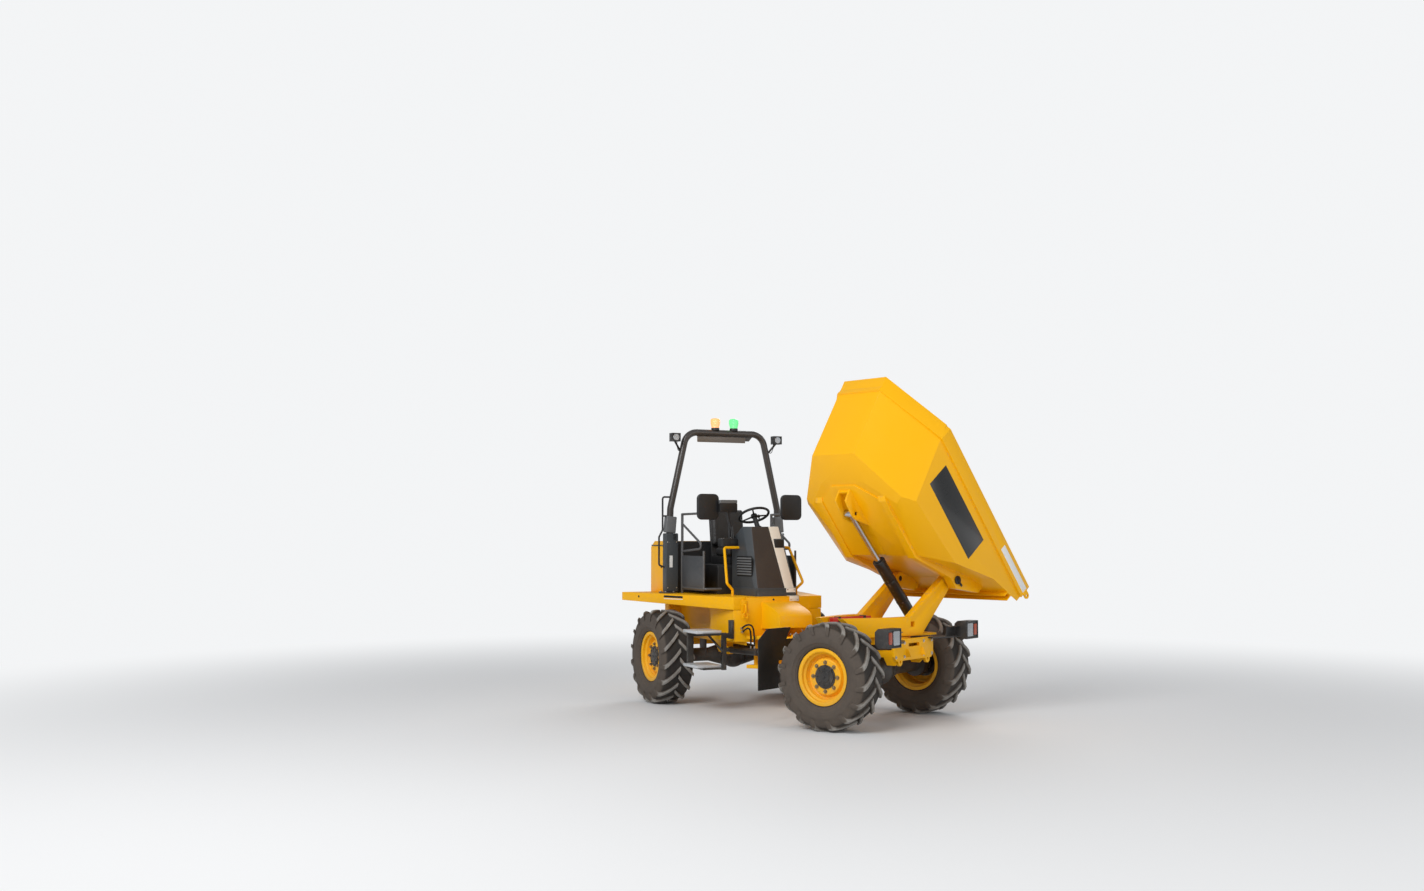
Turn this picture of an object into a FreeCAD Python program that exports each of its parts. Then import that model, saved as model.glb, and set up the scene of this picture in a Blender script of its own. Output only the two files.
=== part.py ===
import FreeCAD, Part
import math
import os

# Site dumper with a swivel skip, articulated in the middle.
# All sizes are in millimetres and all angles in degrees.
# Every module is drawn in its own frame: +X forward, +Y to its left, +Z up, ground at z = 0.
# The rear and the front module share the articulation pin as their origin, the swivel frame
# has the slew axis as its origin, and the skip has its tipping hinge as its origin.

# Pose of the machine
ARTICULATION_ANGLE = 26.9     # front module turned to the left of the rear module
SLEW_ANGLE = 78.5             # swivel frame turned to the left of the front module
TIP_ANGLE = 52.0              # skip tipped forward about its hinge
PIVOT_X = 179.8               # articulation pin from the middle of the whole machine
PIVOT_Y = -556.0

# Wheels and running gear
TYRE_RADIUS = 537.5
TYRE_WIDTH = 405.0
AXLE_DATUM = 537.5            # axle height the chassis is drawn for
BEAD_RADIUS = 254.0
RIM_FLANGE_RADIUS = 285.0
LUG_HEIGHT = 30.0
LUG_HALF_WIDTH = 24.0         # along the tread at the middle of the tyre
LUGS_PER_SIDE = 16
RIM_FLANGE_Y = 142.5          # inner face of each rim flange from the wheel's centre plane
RIM_SHEET = 8.0
DISC_Y = -78.0                # inboard face of the wheel disc
WHEEL_NUTS = 8
NUT_CIRCLE = 136.0
HALF_TRACK = 920.0
FRONT_AXLE_X = 1065.0
REAR_AXLE_X = -1515.0
HUB_RADIUS = 118.0
HUB_INNER_FACE = 20.0         # inboard face of the hub from the wheel's centre plane
AXLE_TUBE_RADIUS = 78.0
RAIL_INNER_Y = 235.0          # side rails of the front chassis
RAIL_OUTER_Y = 265.0
FRONT_ARCH_Z = 690.0          # underside of the rails over the front axle

# Swivel frame and skip hinge
SLEW_X = 1020.0               # slew axis ahead of the articulation pin
SLEW_RING_RADIUS = 330.0
SLEW_RING_BASE_Z = 760.0
SLEW_RING_HEIGHT = 60.0
HINGE_X = 765.0               # skip hinge ahead of the slew axis
HINGE_Z = 1465.0
HINGE_PIN_RADIUS = 30.0
ARM_INNER_Y = 300.0
ARM_WIDTH = 80.0
ARM_TOP_Z = 1095.0
ARM_BOTTOM_Z = 900.0
SWIVEL_FLOOR_Z = 886.0        # underside of the turntable plate
ARM_EYE_RADIUS = 69.0
ARM_TAIL_X = -680.0
REST_PAD_Z = 1096.0           # top of the pads under the lowered skip
ARM_TAIL_Y = 120.0            # inner face of an arm at its rear end
PROP_POST_X = (-440.0, -60.0)
PROP_Y = 98.0                 # right face of the stowed prop
PROP_WIDTH = 55.0
PROP_Z = 1035.0
PROP_LENGTH = 570.0

# Skip body, in the frame of its hinge
SKIP_WALL = 8.0
SKIP_HALF_WIDTH = 775.0
RIM_Z = 620.0
RIM_BAND_HEIGHT = 176.0
RIM_BAND_PROUD = 25.0
FOLD_Z = -277.0               # level of the upper fold of the lower body
FLOOR_Z = -350.0
LIP_X = 480.0                 # pouring lip
LIP_Z = 340.0
BAND_FRONT_X = 590.0
LIP_CHANNEL_WIDTH = 70.0
LIP_CHANNEL_HEIGHT = 90.0
RIB_INNER_Y = 400.0
RIB_WIDTH = 100.0
RIB_DEPTH = 30.0
RIB_REAR_X = -1390.0
KNEE_X = 150.0                # change of slope of the ramp
KNEE_Z = 215.0
RAMP_FOOT_X = -620.0
FLOOR_PANEL = 14.0            # stiffening panel under the skip floor
FLOOR_NOTCH_X = -900.0        # the panel is open over the tipping cylinder from here

# Tipping cylinder, in the swivel frame when the skip stands in this pose
TIP_FOOT_X = 640.0
TIP_FOOT_Z = 1018.0
TIP_EYE_X = -1240.0           # rod pin on the skip, in the skip frame
TIP_EYE_Z = -445.0
TIP_BARREL_RADIUS = 64.0
TIP_ROD_RADIUS = 32.0
TIP_BARREL_LENGTH = 862.0
TIP_ROD_LENGTH = 1030.0
TIP_PIN_RADIUS = 25.0
TIP_EYE_BORE = 22.0

# Steering cylinder on the right-hand side, in plan
STEER_FOOT_X = -690.0
STEER_FOOT_Y = -455.0
STEER_EYE_X = 60.0            # rod pin on the front module, in the front frame
STEER_EYE_Y = -290.0
STEER_Z = 655.0
STEER_BARREL_RADIUS = 38.0
STEER_ROD_RADIUS = 19.0
STEER_BARREL_LENGTH = 490.0
STEER_ROD_LENGTH = 530.0
STEER_PIN_RADIUS = 16.0

# Rear module
DECK_TOP_Z = 1255.0
DECK_REAR_DEPTH = 95.0         # depth of the side skirt at its rear end
DECK_FRONT_DEPTH = 140.0
DECK_SKIN = 6.0
DECK_FRONT_X = -370.0
DECK_REAR_X = -2280.0
DECK_FRONT_HALF_WIDTH = 560.0
DECK_REAR_HALF_WIDTH = 1120.0
CHASSIS_HALF_WIDTH = 400.0
CHASSIS_BOTTOM_Z = 600.0
CHASSIS_REAR_X = -2260.0
AXLE_ARCH_Z = 720.0           # underside of the side plates over the rear axle
BULKHEAD_X = -372.0
COUPLING_PIN_RADIUS = 35.0
BALLAST_HALF_WIDTH = 560.0
TOW_X = -2313.0
TOW_Z = 680.0
TOW_BORE_RADIUS = 16.0
FRONT_PLATE_X = 1500.0        # front face of the plate ahead of the rails
FRONT_PLATE_HALF_WIDTH = 405.0
FRONT_PLATE_TOP_Z = 880.0
FRONT_PLATE_BOTTOM_Z = 665.0
FRONT_PLATE_THICKNESS = 30.0
TIE_EYE_Y = 284.0
TIE_EYE_Z = 657.0
TIE_EYE_OUTER_RADIUS = 45.0
TIE_EYE_RADIUS = 14.0
PLATE = 15.0                  # main chassis plate
BULKHEAD_HALF_WIDTH = 555.0   # above the yoke
BULKHEAD_NECK_Y = 300.0
BULKHEAD_STEP_Z = 770.0       # the bulkhead is wide from here up
BULKHEAD_SLOPE = 20.0         # the lower edge rises by this from the neck to the outer corner
YOKE_LEVELS = (470.0, 790.0)  # undersides of the two yoke plates
YOKE_PLATE = 40.0
SIDE_PLATE_FRONT_Z = 720.0    # lower edge of the side plates ahead of the steps
TANK_REAR_X = -1000.0         # side tanks behind the bulkhead
TANK_OUTER_Y = 545.0
TANK_BOTTOM_Z = 760.0
NOSE_HALF_WIDTH = 205.0
BONNET_FRONT_X = -1830.0
BONNET_REAR_X = -2280.0
BONNET_HALF_WIDTH = 740.0
BONNET_TOP_Z = 1870.0

# Roll-over hoop
ROPS_X = -1740.0
ROPS_TUBE_RADIUS = 40.0
ROPS_BASE_HALF_WIDTH = 760.0
ROPS_BEND_HALF_WIDTH = 720.0
ROPS_BEND_Z = 2260.0
ROPS_TOP_HALF_WIDTH = 510.0
ROPS_TOP_Z = 3180.0
ROPS_FOOT_THICKNESS = 16.0
POST_COVER_TOP_Z = 2175.0
POST_COVER_INNER_Y = 635.0
POST_COVER_OUTER_Y = 800.0
POST_COVER_DEPTH = 100.0
BEACON_HALF_SPACING = 125.0

# Operator station
CONSOLE_FRONT_X = -430.0
CONSOLE_REAR_X = -1060.0
CONSOLE_HALF_WIDTH = 235.0    # right side
CONSOLE_LEFT_Y = 265.0
CONSOLE_PLINTH_HEIGHT = 88.0
CONSOLE_PLINTH_PROUD = 12.0
CONSOLE_TOP_Z = 2040.0
SEAT_X = -1400.0
MIRROR_X = -1085.0
MIRROR_INNER_Y = 410.0
MIRROR_OUTER_Y = 683.0
SEAT_TOP_Z = 1800.0
SEAT_CUSHION_HEIGHT = 110.0
SEAT_RECLINE = 8.0
SEAT_PLINTH_TOP_Z = 1600.0
SEAT_PLINTH_FRONT_X = -1160.0
SEAT_PLINTH_HALF_WIDTH = 370.0
SEAT_WALL_HALF_WIDTH = 620.0
STEERING_WHEEL_RADIUS = 190.0
STEERING_WHEEL_X = -960.0
STEERING_WHEEL_Z = 2175.0
STEP_LENGTH = 380.0
STEP_DEPTH = 300.0
STEP_TOPS = (895.0, 520.0)
STEP_HEIGHT = 30.0
STEP_FRONT_X = -375.0
STEP_OUTER_Y = 1000.0

COLUMN_RADIUS = 32.0
GRAB_RAIL_RADIUS = 16.0

GAP = 0.3                     # running clearance between pieces that move


def vec(x, y, z):
    return FreeCAD.Vector(x, y, z)


def box(x0, x1, y0, y1, z0, z1):
    """Rectangular block between two corners."""
    return Part.makeBox(x1 - x0, y1 - y0, z1 - z0, vec(x0, y0, z0))


def prism_y(points, y0, y1):
    """Plate or block whose side outline is given as (x, z) points."""
    face = Part.Face(Part.makePolygon([vec(x, y0, z) for x, z in points + points[:1]]))
    return face.extrude(vec(0, y1 - y0, 0))


def prism_z(points, z0, z1):
    """Plate or block whose plan outline is given as (x, y) points."""
    face = Part.Face(Part.makePolygon([vec(x, y, z0) for x, y in points + points[:1]]))
    return face.extrude(vec(0, 0, z1 - z0))


def prism_x(points, x0, x1):
    """Plate or block whose front outline is given as (y, z) points."""
    face = Part.Face(Part.makePolygon([vec(x0, y, z) for y, z in points + points[:1]]))
    return face.extrude(vec(x1 - x0, 0, 0))


def rod(start, end, radius):
    """Round bar between two points."""
    axis = end.sub(start)
    return Part.makeCylinder(radius, axis.Length, start, axis)


def disc_y(x, z, radius, y0, y1):
    """Cylinder across the machine."""
    return Part.makeCylinder(radius, y1 - y0, vec(x, y0, z), vec(0, 1, 0))


def fuse(shapes):
    """One solid from pieces that overlap or meet."""
    result = shapes[0].fuse(shapes[1:]) if len(shapes) > 1 else shapes[0]
    return result.removeSplitter()


def mirrored(shape):
    """The same piece on the other side of the centre plane."""
    return shape.mirror(vec(0, 0, 0), vec(0, 1, 0))


def both_sides(shape):
    """Left and right copies as one compound of separate solids."""
    return Part.makeCompound([shape, mirrored(shape)])


def bent_bar(points, radius, bend):
    """Round tube along straight runs joined by tangent arcs."""
    edges = []
    start = points[0]
    for before, corner, after in zip(points, points[1:], points[2:]):
        a = before.sub(corner)
        b = after.sub(corner)
        a.normalize()
        b.normalize()
        half_turn = (math.pi - a.getAngle(b)) / 2
        cut = bend * math.tan(half_turn)
        entry = corner.add(a * cut)
        leave = corner.add(b * cut)
        middle = a.add(b)
        middle.normalize()
        centre = corner.add(middle * (bend / math.cos(half_turn)))
        top = corner.sub(centre)
        top.normalize()
        edges.append(Part.LineSegment(start, entry).toShape())
        edges.append(Part.Arc(entry, centre.add(top * bend), leave).toShape())
        start = leave
    edges.append(Part.LineSegment(start, points[-1]).toShape())
    path = Part.Wire(edges)
    first = points[1].sub(points[0])
    section = Part.Wire(Part.makeCircle(radius, points[0], first))
    return path.makePipeShell([section], True, False)


def half_space_cut(shape, a, b, c, keep, inset=0.0):
    """Trim a convex shape by the plane through a, b and c, keeping the side of one point."""
    normal = b.sub(a).cross(c.sub(a))
    normal.normalize()
    if normal.dot(keep.sub(a)) > 0:
        normal = normal * -1
    size = 8000.0
    base = a.sub(normal * inset)
    slab = Part.makeBox(size, size, size, vec(-size / 2, -size / 2, 0))
    slab.Placement = FreeCAD.Placement(base, FreeCAD.Rotation(vec(0, 0, 1), normal))
    return shape.cut(slab)


# Larger tyres lift the machine, smaller ones lower it, and the axles stay clear of the decks
LIFT = max(TYRE_RADIUS - AXLE_DATUM, 2 * (TYRE_RADIUS - AXLE_DATUM))
AXLE_Z = TYRE_RADIUS - LIFT

# Placement of each module
REAR = FreeCAD.Placement(vec(PIVOT_X, PIVOT_Y, LIFT), FreeCAD.Rotation())
FRONT = REAR * FreeCAD.Placement(vec(0, 0, 0), FreeCAD.Rotation(vec(0, 0, 1), ARTICULATION_ANGLE))
SWIVEL = FRONT * FreeCAD.Placement(vec(SLEW_X, 0, 0), FreeCAD.Rotation(vec(0, 0, 1), SLEW_ANGLE))
SKIP = SWIVEL * FreeCAD.Placement(vec(HINGE_X, 0, HINGE_Z), FreeCAD.Rotation(vec(0, 1, 0), TIP_ANGLE))

nodes = []


def node(name, shape, module):
    """Place a finished sub-part of a module and note it for export."""
    placed = shape.copy()
    placed.Placement = module * placed.Placement
    nodes.append((name, placed))


def revolve_y(points):
    """Ring turned about the Y axis from (radius, y) points."""
    outline = Part.makePolygon([vec(r, y, 0) for r, y in points + points[:1]])
    return Part.Face(outline).revolve(vec(0, 0, 0), vec(0, 1, 0), 360)


def tyre():
    """Agricultural-pattern tyre: carcass ring and two rows of slanted lugs."""
    half = TYRE_WIDTH / 2
    tread = TYRE_RADIUS - LUG_HEIGHT
    bead = RIM_FLANGE_Y - GAP
    side = [(BEAD_RADIUS + GAP, bead), (RIM_FLANGE_RADIUS + 4, bead), (RIM_FLANGE_RADIUS + 12, bead + 18),
            (340, half - 16), (390, half - 8), (455, half - 12), (tread - 12, half - 34)]
    outline = side + [(tread, 0)] + [(r, -y) for r, y in reversed(side)]
    carcass = revolve_y(outline)
    # The flat crown of a lug stands on the ground when it points straight down
    crown = TYRE_RADIUS / math.cos(LUG_HALF_WIDTH / TYRE_RADIUS)
    # Sections along one lug: y from the centre, turn in degrees, bottom and top radius, half width
    sections = [(-6.0, 0.0, tread - 20, crown, LUG_HALF_WIDTH),
                (half - 38, 19.0, tread - 26, TYRE_RADIUS - 6, LUG_HALF_WIDTH - 3),
                (half - 1.0, 23.0, tread - 70, tread - 28, LUG_HALF_WIDTH - 5)]
    wires = []
    for y, turn, low, high, width in sections:
        a = math.radians(turn)
        corners = []
        for radius, side_sign in ((low, -1), (low, 1), (high, 1), (high, -1)):
            spread = a + side_sign * width / TYRE_RADIUS
            corners.append(vec(radius * math.sin(spread), y, radius * math.cos(spread)))
        wires.append(Part.makePolygon(corners + corners[:1]))
    lug = Part.makeLoft(wires, True, True)
    pitch = 360.0 / LUGS_PER_SIDE
    lugs = []
    for i in range(LUGS_PER_SIDE):
        left = lug.copy()
        left.rotate(vec(0, 0, 0), vec(0, 1, 0), i * pitch)
        right = mirrored(lug)
        right.rotate(vec(0, 0, 0), vec(0, 1, 0), (i + 0.5) * pitch)
        lugs += [left, right]
    return carcass.fuse(lugs)


def rim():
    """Steel rim with flanges, drop centre and a coned disc with its nuts, outside towards -Y."""
    flange = RIM_FLANGE_RADIUS
    seat = BEAD_RADIUS
    well = seat - 22
    t = RIM_SHEET
    y = RIM_FLANGE_Y
    bore = HUB_RADIUS + GAP
    face = DISC_Y - 14
    outside = [(flange, -y - t), (flange, -y), (seat, -y), (seat, -112), (well, -96), (well, 96),
               (seat, 112), (seat, y), (flange, y), (flange, y + t)]
    inside = [(seat - t, y + t), (seat - t, 118), (well - t, 102), (well - t, -58)]
    disc = [(seat - 58, -30), (150, DISC_Y), (bore, DISC_Y), (bore, face), (156, face), (seat - 52, -46)]
    back = [(well - t, -82), (well - t, -102), (seat - t, -118), (seat - t, -y - t)]
    parts = [revolve_y(outside + inside + disc + back)]
    for i in range(WHEEL_NUTS):
        a = math.tau * i / WHEEL_NUTS
        x, z = NUT_CIRCLE * math.cos(a), NUT_CIRCLE * math.sin(a)
        parts.append(hexagon_y(x, z, 13, face - 16, face + 4))
    return fuse(parts)


def hexagon_y(x, z, radius, y0, y1):
    """Hexagon nut or bolt head across the machine."""
    corners = [(x + radius * math.cos(math.radians(60 * k)), z + radius * math.sin(math.radians(60 * k)))
               for k in range(6)]
    return prism_y(corners, y0, y1)


def hub():
    """Planetary hub with its bolt-on cover, outside towards -Y."""
    outline = [(0, -118), (72, -118), (82, -108), (HUB_RADIUS - 18, -104), (HUB_RADIUS - 14, -97),
               (HUB_RADIUS, -97), (HUB_RADIUS, 10), (86, HUB_INNER_FACE), (0, HUB_INNER_FACE)]
    body = revolve_y(outline)
    near = DISC_Y + GAP
    flange = revolve_y([(HUB_RADIUS - 5, near), (145, near), (145, near + 17), (HUB_RADIUS - 5, near + 17)])
    return fuse([body, flange])


WHEELS = [
    # name, module, axle x, side (+1 left, -1 right)
    ("front_left", FRONT, FRONT_AXLE_X, 1),
    ("front_right", FRONT, FRONT_AXLE_X, -1),
    ("rear_left", REAR, REAR_AXLE_X, 1),
    ("rear_right", REAR, REAR_AXLE_X, -1),
]


def build_wheels():
    """Four driven wheels, each with tyre, rim and hub."""
    pieces = (("tyre", tyre()), ("rim", rim()), ("hub", hub()))
    for name, module, axle_x, side in WHEELS:
        spot = FreeCAD.Placement(vec(axle_x, side * HALF_TRACK, AXLE_Z), FreeCAD.Rotation())
        for piece, shape in pieces:
            node(f"{name}_{piece}", mirrored(shape) if side > 0 else shape, module * spot)


def axle(axle_x, pad_inner, pad_outer, pad_top):
    """Driving axle: centre casing, tapered tubes, hub carriers and pads under the chassis."""
    centre = vec(axle_x, 0, AXLE_Z)
    end = HALF_TRACK - HUB_INNER_FACE - GAP
    parts = [disc_y(axle_x, AXLE_Z, AXLE_TUBE_RADIUS, -end, end)]
    parts.append(Part.makeSphere(165, centre))
    for side in (-1, 1):
        start = vec(axle_x, side * 100, AXLE_Z)
        parts.append(Part.makeCone(140, AXLE_TUBE_RADIUS, 230, start, vec(0, side, 0)))
        carrier = vec(axle_x, side * (HALF_TRACK - 160), AXLE_Z)
        parts.append(Part.makeCylinder(130, 100, carrier, vec(0, side, 0)))
        near, far = sorted((side * pad_inner, side * pad_outer))
        parts.append(box(axle_x - 80, axle_x + 80, near, far, AXLE_Z, pad_top))
    return fuse(parts)


def skip_planes():
    """Faces of the folded skip shell as point triples, in the skip frame."""
    w = SKIP_HALF_WIDTH
    rim_low = RIM_Z - RIM_BAND_HEIGHT
    rear_rim = (-2155.0, 300.0)
    side_rim = (-1510.0, w)
    rear_fold = (-1880.0, 300.0)
    side_fold = (-1440.0, w)
    rear_floor = (-1570.0, 345.0)
    side_floor = (-1285.0, 606.0)
    ramp_knee = (-285.0, -105.0)
    faces = []
    # rear: upper panel down to the fold, lower panel down to the floor
    faces.append(((rear_rim[0], 0, rim_low), (rear_rim[0], 1, rim_low), (rear_fold[0], 0, FOLD_Z)))
    faces.append(((rear_fold[0], 0, FOLD_Z), (rear_fold[0], 1, FOLD_Z), (rear_floor[0], 0, FLOOR_Z)))
    for s in (-1, 1):
        # chamfered corners
        faces.append(((rear_rim[0], s * rear_rim[1], rim_low), (side_rim[0], s * side_rim[1], rim_low),
                      (rear_fold[0], s * rear_fold[1], FOLD_Z)))
        faces.append(((rear_fold[0], s * rear_fold[1], FOLD_Z), (side_fold[0], s * side_fold[1], FOLD_Z),
                      (side_floor[0], s * side_floor[1], FLOOR_Z)))
        # bevel between side wall and floor
        faces.append(((side_fold[0], s * w, FOLD_Z), (ramp_knee[0], s * w, ramp_knee[1] - 60),
                      (side_floor[0], s * side_floor[1], FLOOR_Z)))
        faces.append(((0, s * w, 0), (1, s * w, 0), (0, s * w, 1)))
    return faces


def ramp_z(x):
    """Underside of the front slope of the ramp."""
    return KNEE_Z + (x - KNEE_X) * (LIP_Z - KNEE_Z) / (LIP_X - KNEE_X)


def skip_shell(inset, top):
    """Skip volume with every face moved in by the given inset, its ramp in two slopes."""
    inside = vec(-900, 0, 0)
    body = box(-2600, BAND_FRONT_X, -1000, 1000, FLOOR_Z + inset, top)
    for a, b, c in skip_planes():
        body = half_space_cut(body, vec(*a), vec(*b), vec(*c), inside, inset)
    foot = vec(RAMP_FOOT_X, 0, FLOOR_Z)
    knee = vec(KNEE_X, 0, KNEE_Z)
    lip = vec(LIP_X, 0, LIP_Z)
    across = vec(0, 1, 0)
    steep = half_space_cut(body, foot, foot.add(across), knee, vec(-900, 0, 300), inset)
    flat = half_space_cut(body, knee, knee.add(across), lip, vec(KNEE_X, 0, 600), inset)
    # the inner faces of the two slopes meet a little behind the outer knee
    steep_run = (KNEE_Z - FLOOR_Z) / (KNEE_X - RAMP_FOOT_X)
    flat_run = (LIP_Z - KNEE_Z) / (LIP_X - KNEE_X)
    shift = inset * (math.hypot(1, steep_run) - math.hypot(1, flat_run)) / (steep_run - flat_run)
    ahead = box(KNEE_X - shift, BAND_FRONT_X + 1, -1000, 1000, FLOOR_Z, top)
    return steep.fuse(flat.common(ahead)).removeSplitter()


def rim_band():
    """Folded band round the rim: outline of the shell at the rim, standing proud."""
    low = RIM_Z - RIM_BAND_HEIGHT
    p = RIM_BAND_PROUD
    w = SKIP_HALF_WIDTH
    outer = [(BAND_FRONT_X, -w - p), (-1520, -w - p), (-2155 - p, -300), (-2155 - p, 300),
             (-1520, w + p), (BAND_FRONT_X, w + p)]
    t = SKIP_WALL
    inner = [(BAND_FRONT_X + 1, -w + t), (-1508, -w + t), (-2155 + t, -292), (-2155 + t, 292),
             (-1508, w - t), (BAND_FRONT_X + 1, w - t)]
    return prism_z(outer, low, RIM_Z).cut(prism_z(inner, low - 1, RIM_Z + 1))


def skip_tub():
    """Open skip: folded plate shell, rim band, lip channel and lifting ears."""
    outer = skip_shell(0.0, RIM_Z)
    inner = skip_shell(SKIP_WALL, RIM_Z + 50)
    inner = inner.fuse(box(LIP_X - 40, BAND_FRONT_X + 50, -SKIP_HALF_WIDTH + SKIP_WALL,
                           SKIP_HALF_WIDTH - SKIP_WALL, LIP_Z + SKIP_WALL, RIM_Z + 50))
    shell = outer.cut(inner)
    back, front, t, w = LIP_X - LIP_CHANNEL_WIDTH, LIP_X, SKIP_WALL, SKIP_HALF_WIDTH
    low = LIP_Z - LIP_CHANNEL_HEIGHT
    channel = prism_y([(back, ramp_z(back)), (front, LIP_Z), (front, low), (back, low)], -w, w)
    hollow = prism_y([(back + t, ramp_z(back + t) - t), (front - t, ramp_z(front - t) - t),
                      (front - t, low - 1), (back + t, low - 1)], -w - 1, w + 1)
    channel = channel.cut(hollow)
    parts = [shell, rim_band(), channel]
    for s in (-1, 1):
        y0 = s * (SKIP_HALF_WIDTH + RIM_BAND_PROUD) - 8
        ear_x = BAND_FRONT_X + 40
        ear_z = RIM_Z - 100
        root = box(ear_x - 60, ear_x, y0, y0 + 16, ear_z - 36, ear_z + 36)
        ear = fuse([disc_y(ear_x, ear_z, 36, y0, y0 + 16), root])
        parts.append(ear.cut(disc_y(ear_x, ear_z, 15, y0 - 1, y0 + 17)))
    return fuse(parts)


def skip_subframe():
    """Two hat ribs that carry the hinge, joined at the rear, and the bracket of the rod."""
    low = FLOOR_Z - RIB_DEPTH
    nose_x = 330
    side = [(RIB_REAR_X, FLOOR_Z), (RIB_REAR_X + 50, low), (-600, low), (-90, -70), (60, -70), (nose_x, 190),
            (nose_x, ramp_z(nose_x)), (KNEE_X, KNEE_Z), (RAMP_FOOT_X, FLOOR_Z)]
    parts = []
    for s in (-1, 1):
        y0 = min(s * RIB_INNER_Y, s * (RIB_INNER_Y + RIB_WIDTH))
        parts.append(prism_y(side, y0, y0 + RIB_WIDTH))
    rear = RIB_REAR_X - 150
    wide = RIB_INNER_Y + 20
    panel = prism_z([(rear, -170), (RIB_REAR_X + 45, -wide), (RAMP_FOOT_X, -wide), (RAMP_FOOT_X, wide),
                     (RIB_REAR_X + 45, wide), (rear, 170)], FLOOR_Z - FLOOR_PANEL, FLOOR_Z)
    parts.append(panel.cut(box(FLOOR_NOTCH_X, RAMP_FOOT_X + 1, -90, 90, FLOOR_Z - 20, FLOOR_Z + 1)))
    x, z = TIP_EYE_X, TIP_EYE_Z
    plate = [(-1500, FLOOR_Z), (-1440, z - 40), (x - 30, z - 60), (x + 40, z - 50), (-1000, FLOOR_Z)]
    for s in (-1, 1):
        y0 = min(s * 62, s * 82)
        parts.append(prism_y(plate, y0, y0 + 20).cut(disc_y(x, z, TIP_EYE_BORE, y0 - 1, y0 + 21)))
    parts.append(box(-1480, -1460, -70, 70, FLOOR_Z - 40, FLOOR_Z))
    reach = RIB_INNER_Y + RIB_WIDTH + 1
    return fuse(parts).cut(disc_y(0, 0, HINGE_PIN_RADIUS + GAP, -reach, reach))


def hinge_pins():
    """Two pins through the ribs into the arms."""
    outer = RIB_INNER_Y + RIB_WIDTH
    head = disc_y(0, 0, HINGE_PIN_RADIUS + 16, outer + GAP, outer + 14)
    shank = disc_y(0, 0, HINGE_PIN_RADIUS, ARM_INNER_Y + 5, outer + 1)
    return both_sides(fuse([head, shank]))


def swivel_frame():
    """Turntable plate with two side arms that rise to the skip hinge."""
    # the upper edge of the arm runs below the ramp of the lowered skip
    way = vec(KNEE_X - RAMP_FOOT_X, 0, KNEE_Z - FLOOR_Z)
    way.normalize()
    up = vec(HINGE_X - way.z * ARM_EYE_RADIUS, 0, HINGE_Z + way.x * ARM_EYE_RADIUS)
    bend_x = up.x - (up.z - ARM_TOP_Z) * way.x / way.z
    arm_side = [(ARM_TAIL_X, ARM_TOP_Z), (bend_x, ARM_TOP_Z), (up.x, up.z), (HINGE_X, HINGE_Z),
                (HINGE_X + 0.733 * ARM_EYE_RADIUS, HINGE_Z - 0.680 * ARM_EYE_RADIUS),
                (330, ARM_BOTTOM_Z + 10), (180, ARM_BOTTOM_Z), (-470, ARM_BOTTOM_Z)]
    outer_y = ARM_INNER_Y + ARM_WIDTH
    arm_plan = [(ARM_TAIL_X, ARM_TAIL_Y), (-80, ARM_INNER_Y), (900, ARM_INNER_Y), (900, outer_y),
                (-80, outer_y), (ARM_TAIL_X, ARM_TAIL_Y + ARM_WIDTH)]
    floor_top = ARM_BOTTOM_Z + 8
    parts = []
    for s in (-1, 1):
        y0 = min(s * ARM_INNER_Y, s * outer_y)
        low, high = sorted((0, s * outer_y))
        plan = prism_z([(x, s * y) for x, y in arm_plan], ARM_BOTTOM_Z, 1600)
        arm = prism_y(arm_side, low, high).common(plan)
        arm = arm.fuse(disc_y(HINGE_X, HINGE_Z, ARM_EYE_RADIUS, y0, y0 + ARM_WIDTH))
        arm = arm.cut(disc_y(HINGE_X, HINGE_Z, HINGE_PIN_RADIUS + GAP, y0 - 1, y0 + ARM_WIDTH + 1))
        arm = arm.cut(box(150, 210, y0 - 1, y0 + ARM_WIDTH + 1, 990, 1045))
        near, far = sorted((s * 200, s * 250))
        parts += [arm, box(-500, -440, near, far, ARM_TOP_Z - 5, REST_PAD_Z)]
    base_z = SLEW_RING_BASE_Z + SLEW_RING_HEIGHT
    base = Part.makeCylinder(380, SWIVEL_FLOOR_Z - base_z, vec(0, 0, base_z + GAP))
    floor_plan = [(-480, -ARM_TAIL_Y - 60), (-80, -ARM_INNER_Y - 10), (560, -ARM_INNER_Y - 10),
                  (560, ARM_INNER_Y + 10), (-80, ARM_INNER_Y + 10), (-480, ARM_TAIL_Y + 60)]
    parts += [base, prism_z(floor_plan, SWIVEL_FLOOR_Z, floor_top)]
    parts.append(box(520, 640, -ARM_INNER_Y - 10, ARM_INNER_Y + 10, SWIVEL_FLOOR_Z, floor_top))
    for x in PROP_POST_X:
        parts.append(box(x, x + 40, PROP_Y, PROP_Y + PROP_WIDTH, floor_top - 1, PROP_Z))
    # clevis for the foot of the tipping cylinder
    ear = [(480, SWIVEL_FLOOR_Z), (590, TIP_FOOT_Z + 42), (690, TIP_FOOT_Z + 42), (700, TIP_FOOT_Z - 18),
           (640, SWIVEL_FLOOR_Z)]
    for s in (-1, 1):
        y0 = min(s * 78, s * 98)
        parts.append(prism_y(ear, y0, y0 + 20))
    parts.append(disc_y(TIP_FOOT_X, TIP_FOOT_Z, TIP_PIN_RADIUS, -106, 106))
    return fuse(parts)


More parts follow.
